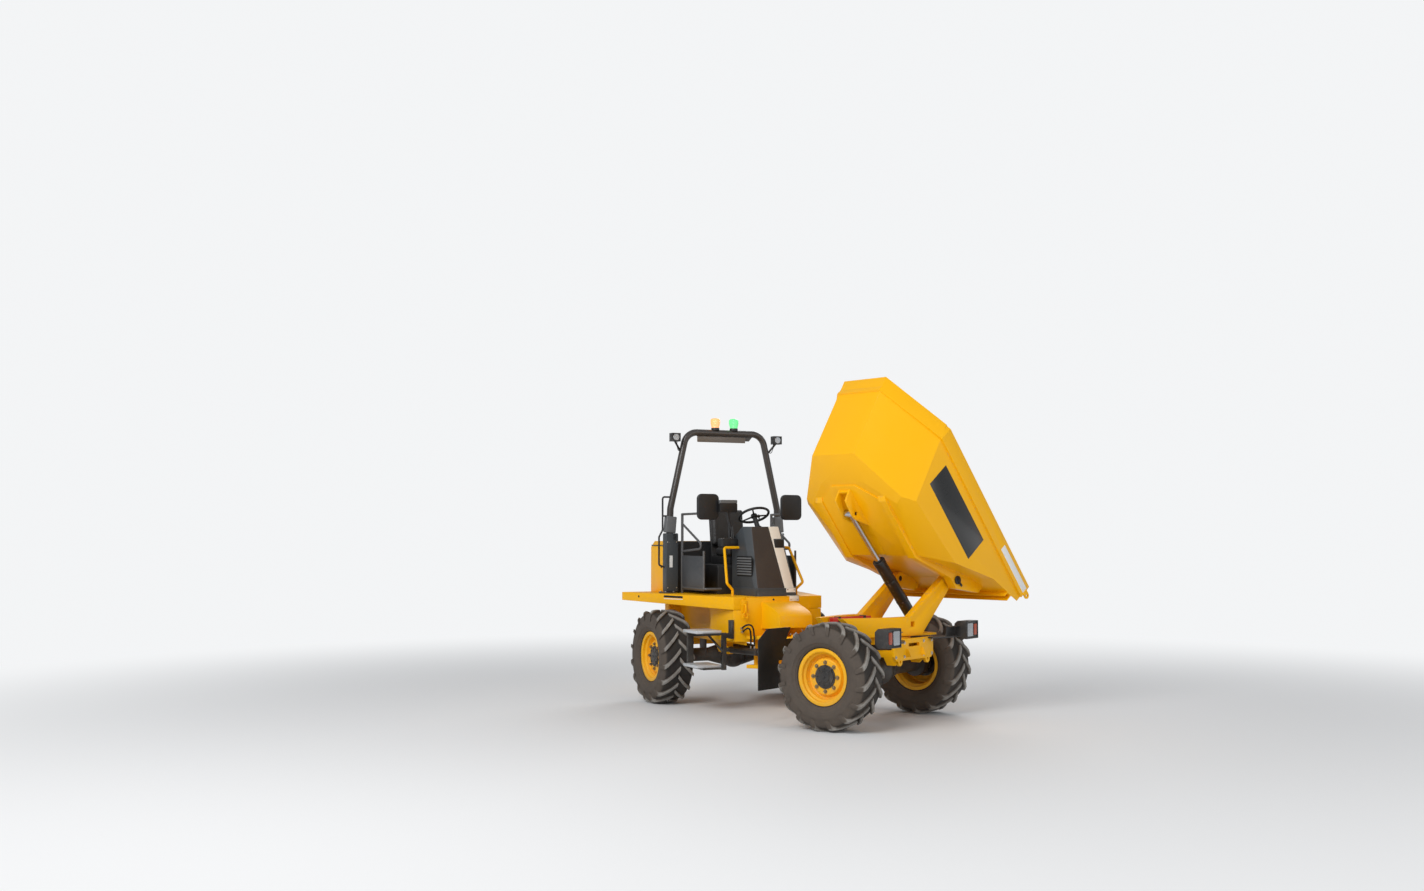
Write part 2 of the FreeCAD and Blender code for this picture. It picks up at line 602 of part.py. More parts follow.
def front_frame():
    """Front chassis: rails over the axle, slew platform, coupling block and front plate."""
    x = FRONT_PLATE_X
    low = FRONT_PLATE_BOTTOM_Z
    rail = [(150, 560), (780, 560), (840, FRONT_ARCH_Z), (1290, FRONT_ARCH_Z), (1330, 610), (1420, 610),
            (x - 20, low), (x, low), (x, 745), (150, 745)]
    parts = [prism_y(rail, RAIL_INNER_Y, RAIL_OUTER_Y), prism_y(rail, -RAIL_OUTER_Y, -RAIL_INNER_Y)]
    parts.append(box(150, x, -RAIL_OUTER_Y, RAIL_OUTER_Y, 735, SLEW_RING_BASE_Z))
    parts.append(box(140, 170, -RAIL_OUTER_Y, RAIL_OUTER_Y, 520, 745))
    parts += [Part.makeCylinder(95, 264, vec(0, 0, 518)), box(60, 160, -80, 80, 540, 760)]
    # front plate with a slot, two lashing ears in its plane and gussets
    w = FRONT_PLATE_HALF_WIDTH
    top = FRONT_PLATE_TOP_Z
    back = x - FRONT_PLATE_THICKNESS
    front = x + 1
    outline = [(-w, low + 45), (-w + 45, low), (w - 45, low), (w, low + 45), (w, top), (-w, top)]
    plate = prism_x(outline, back, x)
    plate = plate.cut(box(back - 1, front, -110, 110, 800, 835))
    across = vec(1, 0, 0)
    for s in (-1, 1):
        centre = vec(back, s * TIE_EYE_Y, TIE_EYE_Z)
        plate = plate.fuse(Part.makeCylinder(TIE_EYE_OUTER_RADIUS, FRONT_PLATE_THICKNESS, centre, across))
    for s in (-1, 1):
        centre = vec(back - 1, s * TIE_EYE_Y, TIE_EYE_Z)
        plate = plate.cut(Part.makeCylinder(TIE_EYE_RADIUS, FRONT_PLATE_THICKNESS + 2, centre, across))
        near, far = sorted((s * 150, s * 162))
        parts.append(prism_y([(x - 5, 700), (x + 55, 700), (x + 20, 780), (x - 5, 780)], near, far))
    parts.append(plate)
    # lugs for the eye of the steering rod
    for z in (STEER_Z - 43, STEER_Z + 27):
        parts.append(prism_z([(-60, -60), (-20, STEER_EYE_Y - 30), (100, STEER_EYE_Y - 30), (100, -60)],
                             z, z + 16))
    return fuse(parts).cut(Part.makeCylinder(COUPLING_PIN_RADIUS + GAP, 400, vec(0, 0, 450)))


def rear_frame():
    """Rear chassis: side plates with arches over the axle, tail plate, ballast, steering bracket."""
    parts = []
    low = CHASSIS_BOTTOM_Z
    top = DECK_TOP_Z - DECK_SKIN
    w = CHASSIS_HALF_WIDTH
    front = BULKHEAD_X - PLATE
    side = [(CHASSIS_REAR_X, low + 200), (-1950, low + 200), (-1850, AXLE_ARCH_Z), (-1180, AXLE_ARCH_Z),
            (-1080, low), (-800, low), (-740, SIDE_PLATE_FRONT_Z), (front, SIDE_PLATE_FRONT_Z), (front, top),
            (CHASSIS_REAR_X, top)]
    for s in (-1, 1):
        y0 = min(s * w, s * (w - PLATE))
        parts.append(prism_y(side, y0, y0 + PLATE))
    parts.append(box(CHASSIS_REAR_X, CHASSIS_REAR_X + 60, -w, w, low, top))
    ballast_top = DECK_TOP_Z - DECK_FRONT_DEPTH
    parts.append(box(CHASSIS_REAR_X, CHASSIS_REAR_X + 130, -BALLAST_HALF_WIDTH, BALLAST_HALF_WIDTH, low + 30,
                     ballast_top))
    # foot of the steering cylinder
    x, y = STEER_FOOT_X, STEER_FOOT_Y
    parts.append(box(x - 110, x - 42, y - 30, -CHASSIS_HALF_WIDTH + PLATE, low, 760))
    for z in (STEER_Z - 40, STEER_Z + 24):
        parts.append(box(x - 45, x + 20, y - 30, y + 30, z, z + 16))
    parts.append(Part.makeCylinder(STEER_PIN_RADIUS, 90, vec(x, y, STEER_Z - 45)))
    return fuse(parts)


def bulkhead():
    """Wide front wall of the rear chassis with the closed nose over the joint."""
    w = CHASSIS_HALF_WIDTH
    wide = BULKHEAD_HALF_WIDTH
    neck = BULKHEAD_NECK_Y
    step = BULKHEAD_STEP_Z
    foot = step - BULKHEAD_SLOPE
    skirt = DECK_TOP_Z - DECK_FRONT_DEPTH - 3
    top = DECK_TOP_Z - DECK_SKIN
    wall = [(-neck, foot), (neck, foot), (wide, step), (wide, skirt), (w, skirt),
            (w, top), (-w, top), (-w, skirt), (-wide, skirt), (-wide, step)]
    nose = [(BULKHEAD_X - 5, 1196), (-262, 1180), (-20, 1107), (40, 1060), (60, 930), (BULKHEAD_X - 5, 900)]
    return fuse([prism_x(wall, BULKHEAD_X - PLATE, BULKHEAD_X), prism_y(nose, -NOSE_HALF_WIDTH, NOSE_HALF_WIDTH)])


def side_tanks():
    """Tank boxes behind the bulkhead on both sides of the chassis."""
    skirt = DECK_TOP_Z - DECK_FRONT_DEPTH - 3
    tank = box(TANK_REAR_X, BULKHEAD_X - PLATE, CHASSIS_HALF_WIDTH, TANK_OUTER_Y, TANK_BOTTOM_Z, skirt)
    return Part.makeCompound([tank, mirrored(tank)])


def articulation_yoke():
    """Neck, two tapered yoke plates and the pin that the front module turns on."""
    neck = BULKHEAD_NECK_Y
    foot = BULKHEAD_STEP_Z - BULKHEAD_SLOPE
    parts = [box(BULKHEAD_X - PLATE, BULKHEAD_X, -neck, neck, YOKE_LEVELS[0], foot)]
    outline = [(BULKHEAD_X, -CHASSIS_HALF_WIDTH), (0, -110), (80, -70), (80, 70), (0, 110),
               (BULKHEAD_X, CHASSIS_HALF_WIDTH)]
    for z in YOKE_LEVELS:
        parts.append(prism_z(outline, z, z + YOKE_PLATE))
    parts.append(Part.makeCylinder(COUPLING_PIN_RADIUS, 400, vec(0, 0, 450)))
    return fuse(parts)


def tow_jaw():
    """Two plates of the towing jaw with its upright pin bore."""
    plates = []
    for z in (TOW_Z - 45, TOW_Z + 25):
        jaw = box(CHASSIS_REAR_X - 90, CHASSIS_REAR_X, -50, 50, z, z + 20)
        plates.append(jaw.cut(Part.makeCylinder(TOW_BORE_RADIUS, 22, vec(TOW_X, 0, z - 1))))
    return Part.makeCompound(plates)


def deck():
    """Tapered side decks over the rear wheels with the floor between them."""
    outline = [(DECK_REAR_X, -DECK_REAR_HALF_WIDTH), (DECK_FRONT_X, -DECK_FRONT_HALF_WIDTH),
               (DECK_FRONT_X, DECK_FRONT_HALF_WIDTH), (DECK_REAR_X, DECK_REAR_HALF_WIDTH)]
    low = DECK_TOP_Z - DECK_FRONT_DEPTH
    slab = prism_z(outline, low, DECK_TOP_Z)
    under = prism_y([(DECK_REAR_X - 1, DECK_TOP_Z - DECK_REAR_DEPTH), (DECK_FRONT_X + 1, low),
                     (DECK_FRONT_X + 1, low - 1), (DECK_REAR_X - 1, low - 1)], -1500, 1500)
    inner = box(DECK_REAR_X - 1, DECK_FRONT_X + 1, -CHASSIS_HALF_WIDTH, CHASSIS_HALF_WIDTH,
                low - 1, DECK_TOP_Z - DECK_SKIN)
    t = DECK_SKIN
    hollow = prism_z([(DECK_REAR_X + t, CHASSIS_HALF_WIDTH + t), (DECK_FRONT_X - t, CHASSIS_HALF_WIDTH + t),
                      (DECK_FRONT_X - t, DECK_FRONT_HALF_WIDTH - t),
                      (DECK_REAR_X + t, DECK_REAR_HALF_WIDTH - t - 2)],
                     low - 1, DECK_TOP_Z - t)
    return slab.cut([under, inner, hollow, mirrored(hollow)])


def rops_bar(radius):
    """Path of the two-post hoop as a bent bar of the given radius."""
    x = ROPS_X
    foot = DECK_TOP_Z + ROPS_FOOT_THICKNESS / 2
    left = [vec(x, ROPS_BASE_HALF_WIDTH, foot), vec(x, ROPS_BEND_HALF_WIDTH, ROPS_BEND_Z),
            vec(x, ROPS_TOP_HALF_WIDTH, ROPS_TOP_Z)]
    right = [vec(x, -p.y, p.z) for p in reversed(left)]
    return bent_bar(left + right, radius, 170.0)


def rops():
    """Two-post hoop bent from round tube, on foot plates, with a cross plate under its top."""
    parts = [rops_bar(ROPS_TUBE_RADIUS)]
    for s in (-1, 1):
        y = s * ROPS_BASE_HALF_WIDTH
        foot = box(ROPS_X - 85, ROPS_X + 85, y - 75, y + 75, DECK_TOP_Z, DECK_TOP_Z + ROPS_FOOT_THICKNESS)
        parts.append(foot)
    top = ROPS_TOP_Z - 10
    cross = prism_x([(-330, top - 80), (330, top - 80), (400, top), (-400, top)], ROPS_X - 6, ROPS_X + 6)
    return fuse(parts + [cross])


def post_covers():
    """Wide covers over the folding joint of each hoop post."""
    half = POST_COVER_DEPTH / 2
    low = DECK_TOP_Z + ROPS_FOOT_THICKNESS
    cover = box(ROPS_X - half, ROPS_X + half, POST_COVER_INNER_Y, POST_COVER_OUTER_Y, low, POST_COVER_TOP_Z)
    return both_sides(cover.cut(rops_bar(ROPS_TUBE_RADIUS + GAP)))


def tip_line():
    """Foot and rod pin of the tipping cylinder in the swivel frame, with the unit vector between."""
    a = math.radians(TIP_ANGLE)
    eye = vec(HINGE_X + TIP_EYE_X * math.cos(a) + TIP_EYE_Z * math.sin(a), 0,
              HINGE_Z - TIP_EYE_X * math.sin(a) + TIP_EYE_Z * math.cos(a))
    foot = vec(TIP_FOOT_X, 0, TIP_FOOT_Z)
    way = eye.sub(foot)
    way.normalize()
    return foot, eye, way


def barrel(foot, way, across, length, radius, eye_radius, pin_radius, rod_radius, half_eye):
    """Hydraulic barrel: foot eye, tube with its bore, gland and oil ports."""
    wall = radius * 0.2
    tube = Part.makeCylinder(radius, length - eye_radius, foot.add(way * eye_radius), way)
    gland = Part.makeCylinder(radius + 3, 50, foot.add(way * (length - 50)), way)
    neck = Part.makeCylinder(min(eye_radius * 0.8, half_eye - 2), eye_radius * 1.6, foot, way)
    eye = Part.makeCylinder(eye_radius, 2 * half_eye, foot.sub(across * half_eye), across)
    body = tube.fuse([gland, neck, eye])
    bore = Part.makeCylinder(radius - wall, length - eye_radius - 75, foot.add(way * (eye_radius + 25)), way)
    mouth = Part.makeCylinder(rod_radius + GAP, 60, foot.add(way * (length - 55)), way)
    hole = Part.makeCylinder(pin_radius + GAP, 2 * half_eye + 2, foot.sub(across * (half_eye + 1)), across)
    return body.cut(bore.fuse([mouth, hole])).removeSplitter()


def piston_rod(eye, way, across, length, radius, eye_radius, pin_radius, bore_radius, half_eye):
    """Chromed rod with its eye and the piston at its inner end."""
    bar = Part.makeCylinder(radius, length, eye, way * -1)
    piston = Part.makeCylinder(bore_radius - 1.0, 30, eye.sub(way * length), way)
    end = Part.makeCylinder(eye_radius, 2 * half_eye, eye.sub(across * half_eye), across)
    hole = Part.makeCylinder(pin_radius + GAP, 2 * half_eye + 2, eye.sub(across * (half_eye + 1)), across)
    return bar.fuse([piston, end]).cut(hole).removeSplitter()


def tipping_cylinder():
    foot, eye, way = tip_line()
    across = vec(0, 1, 0)
    node("tip_barrel", barrel(foot, way, across, TIP_BARREL_LENGTH, TIP_BARREL_RADIUS, 48, TIP_PIN_RADIUS,
                              TIP_ROD_RADIUS, 60), SWIVEL)
    node("tip_rod", piston_rod(eye, way, across, TIP_ROD_LENGTH, TIP_ROD_RADIUS, 46, TIP_EYE_BORE,
                               TIP_BARREL_RADIUS * 0.8, 56), SWIVEL)


def steering_cylinder():
    """Steering cylinder from the rear side plate to the coupling block."""
    foot = vec(STEER_FOOT_X, STEER_FOOT_Y, STEER_Z)
    turn = FreeCAD.Rotation(vec(0, 0, 1), ARTICULATION_ANGLE)
    eye = turn.multVec(vec(STEER_EYE_X, STEER_EYE_Y, STEER_Z))
    way = eye.sub(foot)
    way.normalize()
    across = vec(0, 0, 1)
    node("steer_barrel", barrel(foot, way, across, STEER_BARREL_LENGTH, STEER_BARREL_RADIUS, 34,
                                STEER_PIN_RADIUS, STEER_ROD_RADIUS, 22), REAR)
    node("steer_rod", piston_rod(eye, way, across, STEER_ROD_LENGTH, STEER_ROD_RADIUS, 32, STEER_PIN_RADIUS,
                                 STEER_BARREL_RADIUS * 0.8, 22), REAR)


def safety_prop():
    """Red channel that props the raised skip, stowed on two posts between the arms."""
    x0 = PROP_POST_X[0] - 70
    x1 = x0 + PROP_LENGTH
    bar = box(x0, x1, PROP_Y, PROP_Y + PROP_WIDTH, PROP_Z, PROP_Z + 55)
    return bar.cut(box(x0 - 1, x1 + 1, PROP_Y + 8, PROP_Y + PROP_WIDTH - 8, PROP_Z + 8, PROP_Z + 56))


def slew_ring():
    """Slewing ring with its bolt shoulder and inner bore."""
    z = SLEW_RING_BASE_Z
    ring = Part.makeCylinder(SLEW_RING_RADIUS, 28, vec(0, 0, z)).fuse(
        Part.makeCylinder(SLEW_RING_RADIUS - 22, SLEW_RING_HEIGHT, vec(0, 0, z)))
    ring = ring.cut(Part.makeCylinder(SLEW_RING_RADIUS - 110, SLEW_RING_HEIGHT + 2, vec(0, 0, z - 1)))
    ring.translate(vec(SLEW_X, 0, 0))
    return ring.removeSplitter()


def mudguards():
    """Flap behind each front wheel with a knee that runs inward to the frame."""
    plate = [(1100, 355), (1100, 866), (936, 977), (520, 974), (600, 855), (RAIL_OUTER_Y, 855),
             (RAIL_OUTER_Y, 740), (480, 740), (640, 640), (740, 640), (740, 355)]
    guard = prism_x(plate, 300, 312)
    lip = box(278, 300, 560, 930, 962, 974)
    return both_sides(guard.fuse(lip).removeSplitter())


def headlamps():
    """Boxed lamps on brackets and deep channels ahead of the front tyres."""
    x = FRONT_PLATE_X
    top = FRONT_PLATE_TOP_Z
    bracket = prism_z([(x, 290), (x, FRONT_PLATE_HALF_WIDTH), (x + 100, 640), (x + 160, 640), (x + 160, 500),
                       (x + 60, 290)], top - 18, top)
    channel = box(x + 100, x + 160, 500, 740, top - 18, top + 100)
    channel = channel.cut(box(x + 108, x + 161, 499, 741, top - 10, top + 92))
    side = [(x + 100, top - 10), (x + 100, top + 120), (x + 135, top + 150), (x + 250, top + 150),
            (x + 250, top - 40), (x + 140, top - 40)]
    lamp = prism_y(side, 690, 950).cut(box(x + 238, x + 251, 702, 938, top - 28, top + 138))
    return both_sides(fuse([bracket, channel, lamp]))


def bonnet():
    """Engine cover behind the hoop: folded sheet shell with chamfered shoulders."""
    h = BONNET_HALF_WIDTH
    low = DECK_TOP_Z + GAP
    outer = [(-h, low), (-h, BONNET_TOP_Z - 70), (-h + 50, BONNET_TOP_Z), (h - 50, BONNET_TOP_Z),
             (h, BONNET_TOP_Z - 70), (h, low)]
    t = 6.0
    inner = [(-h + t, DECK_TOP_Z - 1), (-h + t, BONNET_TOP_Z - 72), (-h + 52, BONNET_TOP_Z - t),
             (h - 52, BONNET_TOP_Z - t), (h - t, BONNET_TOP_Z - 72), (h - t, DECK_TOP_Z - 1)]
    shell = prism_x(outer, BONNET_REAR_X, BONNET_FRONT_X)
    shell = shell.cut(prism_x(inner, BONNET_REAR_X + t, BONNET_FRONT_X - t))
    for i in range(7):
        z = 1330 + i * 60
        shell = shell.cut(box(BONNET_REAR_X - 1, BONNET_REAR_X + t + 1, -h + 150, h - 150, z, z + 28))
    return shell


def engine_block():
    """Engine and pump as one plain block under the bonnet."""
    return box(-2200, -1850, -300, 300, DECK_TOP_Z, BONNET_TOP_Z - 90)


def work_lamps():
    """Lamps at the shoulders of the hoop."""
    y = ROPS_TOP_HALF_WIDTH + 175
    z = ROPS_TOP_Z - 120
    lamp = box(ROPS_X + 10, ROPS_X + 100, y - 55, y + 55, z, z + 100)
    lamp = lamp.cut(box(ROPS_X + 92, ROPS_X + 101, y - 47, y + 47, z + 8, z + 92))
    stalk = rod(vec(ROPS_X, y - 100, z - 120), vec(ROPS_X + 40, y, z + 10), 12)
    return both_sides(lamp.fuse(stalk).cut(rops_bar(ROPS_TUBE_RADIUS + GAP)).removeSplitter())


def beacon(y):
    """Flashing beacon: base, tapered lens."""
    z = ROPS_TOP_Z + ROPS_TUBE_RADIUS
    base = Part.makeCylinder(42, 30, vec(ROPS_X, y, z - 4))
    lens = Part.makeCone(50, 42, 130, vec(ROPS_X, y, z + 26))
    return base.fuse(lens).cut(rops_bar(ROPS_TUBE_RADIUS + GAP)).removeSplitter()


def seat_base():
    """Suspension box and slide under the seat."""
    top = SEAT_TOP_Z - SEAT_CUSHION_HEIGHT - GAP
    parts = [box(SEAT_X - 290, SEAT_X + 220, -210, 210, SEAT_PLINTH_TOP_Z, top)]
    shell = box(-30, -GAP, -200, 200, -150, 440)
    shell.Placement = backrest_placement() * FreeCAD.Placement(vec(-100, 0, 0), FreeCAD.Rotation())
    parts.append(shell)
    return fuse(parts)


def seat_plinth():
    """Closed box that carries the seat, with the wall between the operator and the bonnet."""
    rear = BONNET_FRONT_X + 2
    h = SEAT_PLINTH_HALF_WIDTH
    w = SEAT_WALL_HALF_WIDTH
    carrier = prism_y([(rear, DECK_TOP_Z), (rear, 1520), (-1700, SEAT_PLINTH_TOP_Z),
                       (SEAT_PLINTH_FRONT_X - 30, SEAT_PLINTH_TOP_Z), (SEAT_PLINTH_FRONT_X, 1570),
                       (SEAT_PLINTH_FRONT_X, DECK_TOP_Z)], -h, h)
    return fuse([carrier, box(rear, rear + 20, -w, w, DECK_TOP_Z, BONNET_TOP_Z)])


def backrest_placement():
    """Lower front edge of the backrest, reclined."""
    recline = FreeCAD.Rotation(vec(0, 1, 0), -SEAT_RECLINE)
    return FreeCAD.Placement(vec(SEAT_X - 190, 0, SEAT_TOP_Z), recline)


def seat_backrest():
    back = box(-100, 0, -235, 235, 10, 480)
    back.Placement = backrest_placement()
    return back


COLUMN_FOOT = vec(-810, 0, 1960)
COLUMN_TOP = vec(STEERING_WHEEL_X + 12, 0, STEERING_WHEEL_Z - 20)


def console():
    """Instrument console: raked front, sloping top, hollow underneath."""
    h = CONSOLE_HALF_WIDTH
    w = CONSOLE_LEFT_Y
    side = [(CONSOLE_REAR_X, DECK_TOP_Z), (CONSOLE_REAR_X, 1890), (-800, CONSOLE_TOP_Z),
            (-690, CONSOLE_TOP_Z), (CONSOLE_FRONT_X, DECK_TOP_Z)]
    body = prism_y(side, -h, w)
    body = half_space_cut(body, vec(-690, -170, CONSOLE_TOP_Z), vec(-800, -h, CONSOLE_TOP_Z),
                          vec(CONSOLE_FRONT_X, -h + 20, DECK_TOP_Z), vec(-900, 0, 1500))
    body = half_space_cut(body, vec(-690, 180, CONSOLE_TOP_Z), vec(-800, w - 10, CONSOLE_TOP_Z),
                          vec(CONSOLE_FRONT_X, w, DECK_TOP_Z), vec(-900, 0, 1500))
    proud = CONSOLE_PLINTH_PROUD
    plinth = box(CONSOLE_REAR_X, CONSOLE_FRONT_X - 18, -h - proud, w + proud, DECK_TOP_Z,
                 DECK_TOP_Z + CONSOLE_PLINTH_HEIGHT)
    return body.fuse(plinth).cut(rod(COLUMN_FOOT, COLUMN_TOP, COLUMN_RADIUS + GAP)).removeSplitter()


def console_front_panel():
    """Lighter cover strip on the raked front of the console, down to its plinth."""
    top = (-690, CONSOLE_TOP_Z)
    low_z = DECK_TOP_Z + CONSOLE_PLINTH_HEIGHT + GAP
    low = (top[0] + (CONSOLE_FRONT_X - top[0]) * (top[1] - low_z) / (top[1] - DECK_TOP_Z), low_z)
    outline = [(top, 45), (top, 173), (low, 248), (low, 133)]
    corners = [vec(x + GAP, y, z) for (x, z), y in outline]
    return Part.Face(Part.makePolygon(corners + corners[:1])).extrude(vec(5, 0, 0))


def steering_column():
    """Column and wheel, tilted towards the seat."""
    tilt = FreeCAD.Rotation(vec(0, 1, 0), -28)
    centre = vec(STEERING_WHEEL_X, 0, STEERING_WHEEL_Z)
    ring = Part.makeTorus(STEERING_WHEEL_RADIUS - 15, 15)
    parts = [ring, Part.makeCylinder(42, 34, vec(0, 0, -26))]
    for angle in (90, 210, 330):
        a = math.radians(angle)
        end = vec((STEERING_WHEEL_RADIUS - 15) * math.cos(a), (STEERING_WHEEL_RADIUS - 15) * math.sin(a), 0)
        parts.append(rod(vec(0, 0, -12), end, 9))
    wheel = fuse(parts)
    wheel.Placement = FreeCAD.Placement(centre, tilt)
    return wheel.fuse(rod(COLUMN_FOOT, COLUMN_TOP, COLUMN_RADIUS)).removeSplitter()


def display():
    """Display on its stalk and the lever pod at the right of the console."""
    screen = box(-1010, -985, -400, -220, 2230, 2350)
    stalk = rod(vec(-998, -300, 2240), vec(-998, -300, 1880), 12)
    pod = box(-1060, -900, -330, -CONSOLE_HALF_WIDTH, 1840, 1885)
    levers = [rod(vec(x, -280, 1880), vec(x - 20, -285, 2040), 8) for x in (-1035, -965, -925)]
    return fuse([screen, stalk, pod] + levers)


def mirrors():
    """Rear-view mirror heads on arms from the side guards."""
    return both_sides(box(MIRROR_X, MIRROR_X + 45, MIRROR_INNER_Y, MIRROR_OUTER_Y, 2120, 2420))


def grab_rails():
    """Bow-shaped hand rails beside the console."""
    bars = []
    for s, wall in ((-1, CONSOLE_HALF_WIDTH), (1, CONSOLE_LEFT_Y)):
        points = [vec(-887, s * (wall + GAP), 1800), vec(-887, s * 420, 1800), vec(-675, s * 490, 1400),
                  vec(-695, s * 410, 1325), vec(-695, s * 410, DECK_TOP_Z)]
        bars.append(bent_bar(points, GRAB_RAIL_RADIUS, 32.0))
    return Part.makeCompound(bars)


def side_guards():
    """Tube guard with a closed lower panel on each side of the seat."""
    y = 600.0
    post = rod(vec(-1660, y, DECK_TOP_Z), vec(-1660, y, 2200), 16)
    top = bent_bar([vec(-1660, y, 2190), vec(-1240, y - 30, 2195), vec(-1180, y - 40, 2262),
                    vec(MIRROR_X - GAP, y - 40, 2262)], 14, 25)
    brace = bent_bar([vec(-1660, y, 2080), vec(-1055, y - 20, 1790), vec(-1660, y, 1750)], 14, 40)
    panel = box(-1660, -1060, y - 8, y + 8, DECK_TOP_Z + 45, 1700)
    return both_sides(post.fuse([top, brace, panel]).removeSplitter())


def step_frames():
    """Posts, arms and braces that hang the access steps from the side tanks."""
    front = (STEP_FRONT_X - 25, STEP_FRONT_X + 15)
    rear = (STEP_FRONT_X - STEP_LENGTH - 33, STEP_FRONT_X - STEP_LENGTH + 6)
    inner = STEP_OUTER_Y - STEP_DEPTH
    top, bottom = STEP_TOPS[0] - STEP_HEIGHT, STEP_TOPS[1] - STEP_HEIGHT
    tank = TANK_OUTER_Y
    parts = [
        # posts, the front one inside the steps and the rear one through their middle
        box(*front, inner - 50, inner, bottom - 28, top + 5), box(*rear, 870, 940, bottom - 28, top + 5),
        # arms to the side tank and the stub in front
        box(*front, tank + 12, inner, top - 55, top), box(*rear, tank, 870, top - 55, top),
        box(front[0] - 20, front[1], tank + 12, tank + 55, 800, 1005),
        box(front[0] - 20, BULKHEAD_X - PLATE - 2, tank, tank + 12, 800, 1005),
        # diagonal brace
        prism_y([(rear[1] - 20, top - 10), (rear[1] - 20, top - 40), (front[1] - 2, bottom + 165),
                 (front[1] - 2, bottom + 195)], inner - 6, inner + 6)]
    for z in (top, bottom):
        parts.append(box(rear[1] - 1, front[1], 890, 930, z - 20, z))
        parts.append(box(rear[1] - 1, front[1], inner - 12, inner + 35, z - 20, z))
        parts.append(box(front[0], front[1] - 8, inner, 930, z - 20, z))
    return both_sides(fuse(parts))


def step_treads():
    """Two galvanised treads on each side."""
    x0 = STEP_FRONT_X - STEP_LENGTH + 8
    x1 = STEP_FRONT_X - 8
    y0 = STEP_OUTER_Y - STEP_DEPTH + 1
    y1 = STEP_OUTER_Y
    h = STEP_HEIGHT
    treads = [box(x0, x1, y0, y1, z - h, z).cut(box(x0 + 4, x1 - 4, y0 + 4, y1 - 4, z - h - 1, z - 4))
              for z in STEP_TOPS]
    return Part.makeCompound(treads + [mirrored(t) for t in treads])


def build():
    build_wheels()
    node("front_axle", axle(FRONT_AXLE_X, RAIL_INNER_Y, RAIL_OUTER_Y, FRONT_ARCH_Z), FRONT)
    node("rear_axle", axle(REAR_AXLE_X, CHASSIS_HALF_WIDTH - PLATE, CHASSIS_HALF_WIDTH, AXLE_ARCH_Z), REAR)
    node("skip_tub", skip_tub(), SKIP)
    node("skip_subframe", skip_subframe(), SKIP)
    node("hinge_pins", hinge_pins(), SKIP)
    node("swivel_frame", swivel_frame(), SWIVEL)
    node("front_frame", front_frame(), FRONT)
    node("rear_frame", rear_frame(), REAR)
    node("bulkhead", bulkhead(), REAR)
    node("side_tanks", side_tanks(), REAR)
    node("articulation_yoke", articulation_yoke(), REAR)
    node("tow_jaw", tow_jaw(), REAR)
    node("deck", deck(), REAR)
    node("rops_hoop", rops(), REAR)
    node("post_covers", post_covers(), REAR)
    node("slew_ring", slew_ring(), FRONT)
    node("mudguards", mudguards(), FRONT)
    node("headlamps", headlamps(), FRONT)
    node("safety_prop", safety_prop(), SWIVEL)
    tipping_cylinder()
    steering_cylinder()
    node("bonnet", bonnet(), REAR)
    node("engine_block", engine_block(), REAR)
    node("work_lamps", work_lamps(), REAR)
    node("beacon_amber", beacon(-BEACON_HALF_SPACING), REAR)
    node("beacon_green", beacon(BEACON_HALF_SPACING), REAR)
    node("seat_plinth", seat_plinth(), REAR)
    node("seat_base", seat_base(), REAR)
    node("seat_cushion", box(SEAT_X - 180, SEAT_X + 240, -240, 240, SEAT_TOP_Z - SEAT_CUSHION_HEIGHT,
                             SEAT_TOP_Z), REAR)
    node("seat_backrest", seat_backrest(), REAR)
    node("console", console(), REAR)
    node("console_front_panel", console_front_panel(), REAR)
    node("steering_column", steering_column(), REAR)
    node("display_and_levers", display(), REAR)
    node("mirrors", mirrors(), REAR)
    node("grab_rails", grab_rails(), REAR)
    node("side_guards", side_guards(), REAR)
    node("step_frames", step_frames(), REAR)
    node("step_treads", step_treads(), REAR)


build()
os.makedirs("parts", exist_ok=True)
for name, shape in nodes:
    shape.exportStep(os.path.join("parts", f"{name}.step"))
whole = Part.makeCompound([shape for name, shape in nodes]).BoundBox
print(len(nodes), "nodes, box", [round(v, 1) for v in (whole.XMin, whole.YMin, whole.ZMin,
                                                          whole.XMax, whole.YMax, whole.ZMax)])
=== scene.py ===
# %% [markdown]
# # A swivel-skip site dumper
#
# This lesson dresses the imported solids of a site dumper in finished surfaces. The solids say where
# every part is; the cells below give each part its rounded edges, its small fittings and its paint.
# Each cell makes one thing and prints what it made.

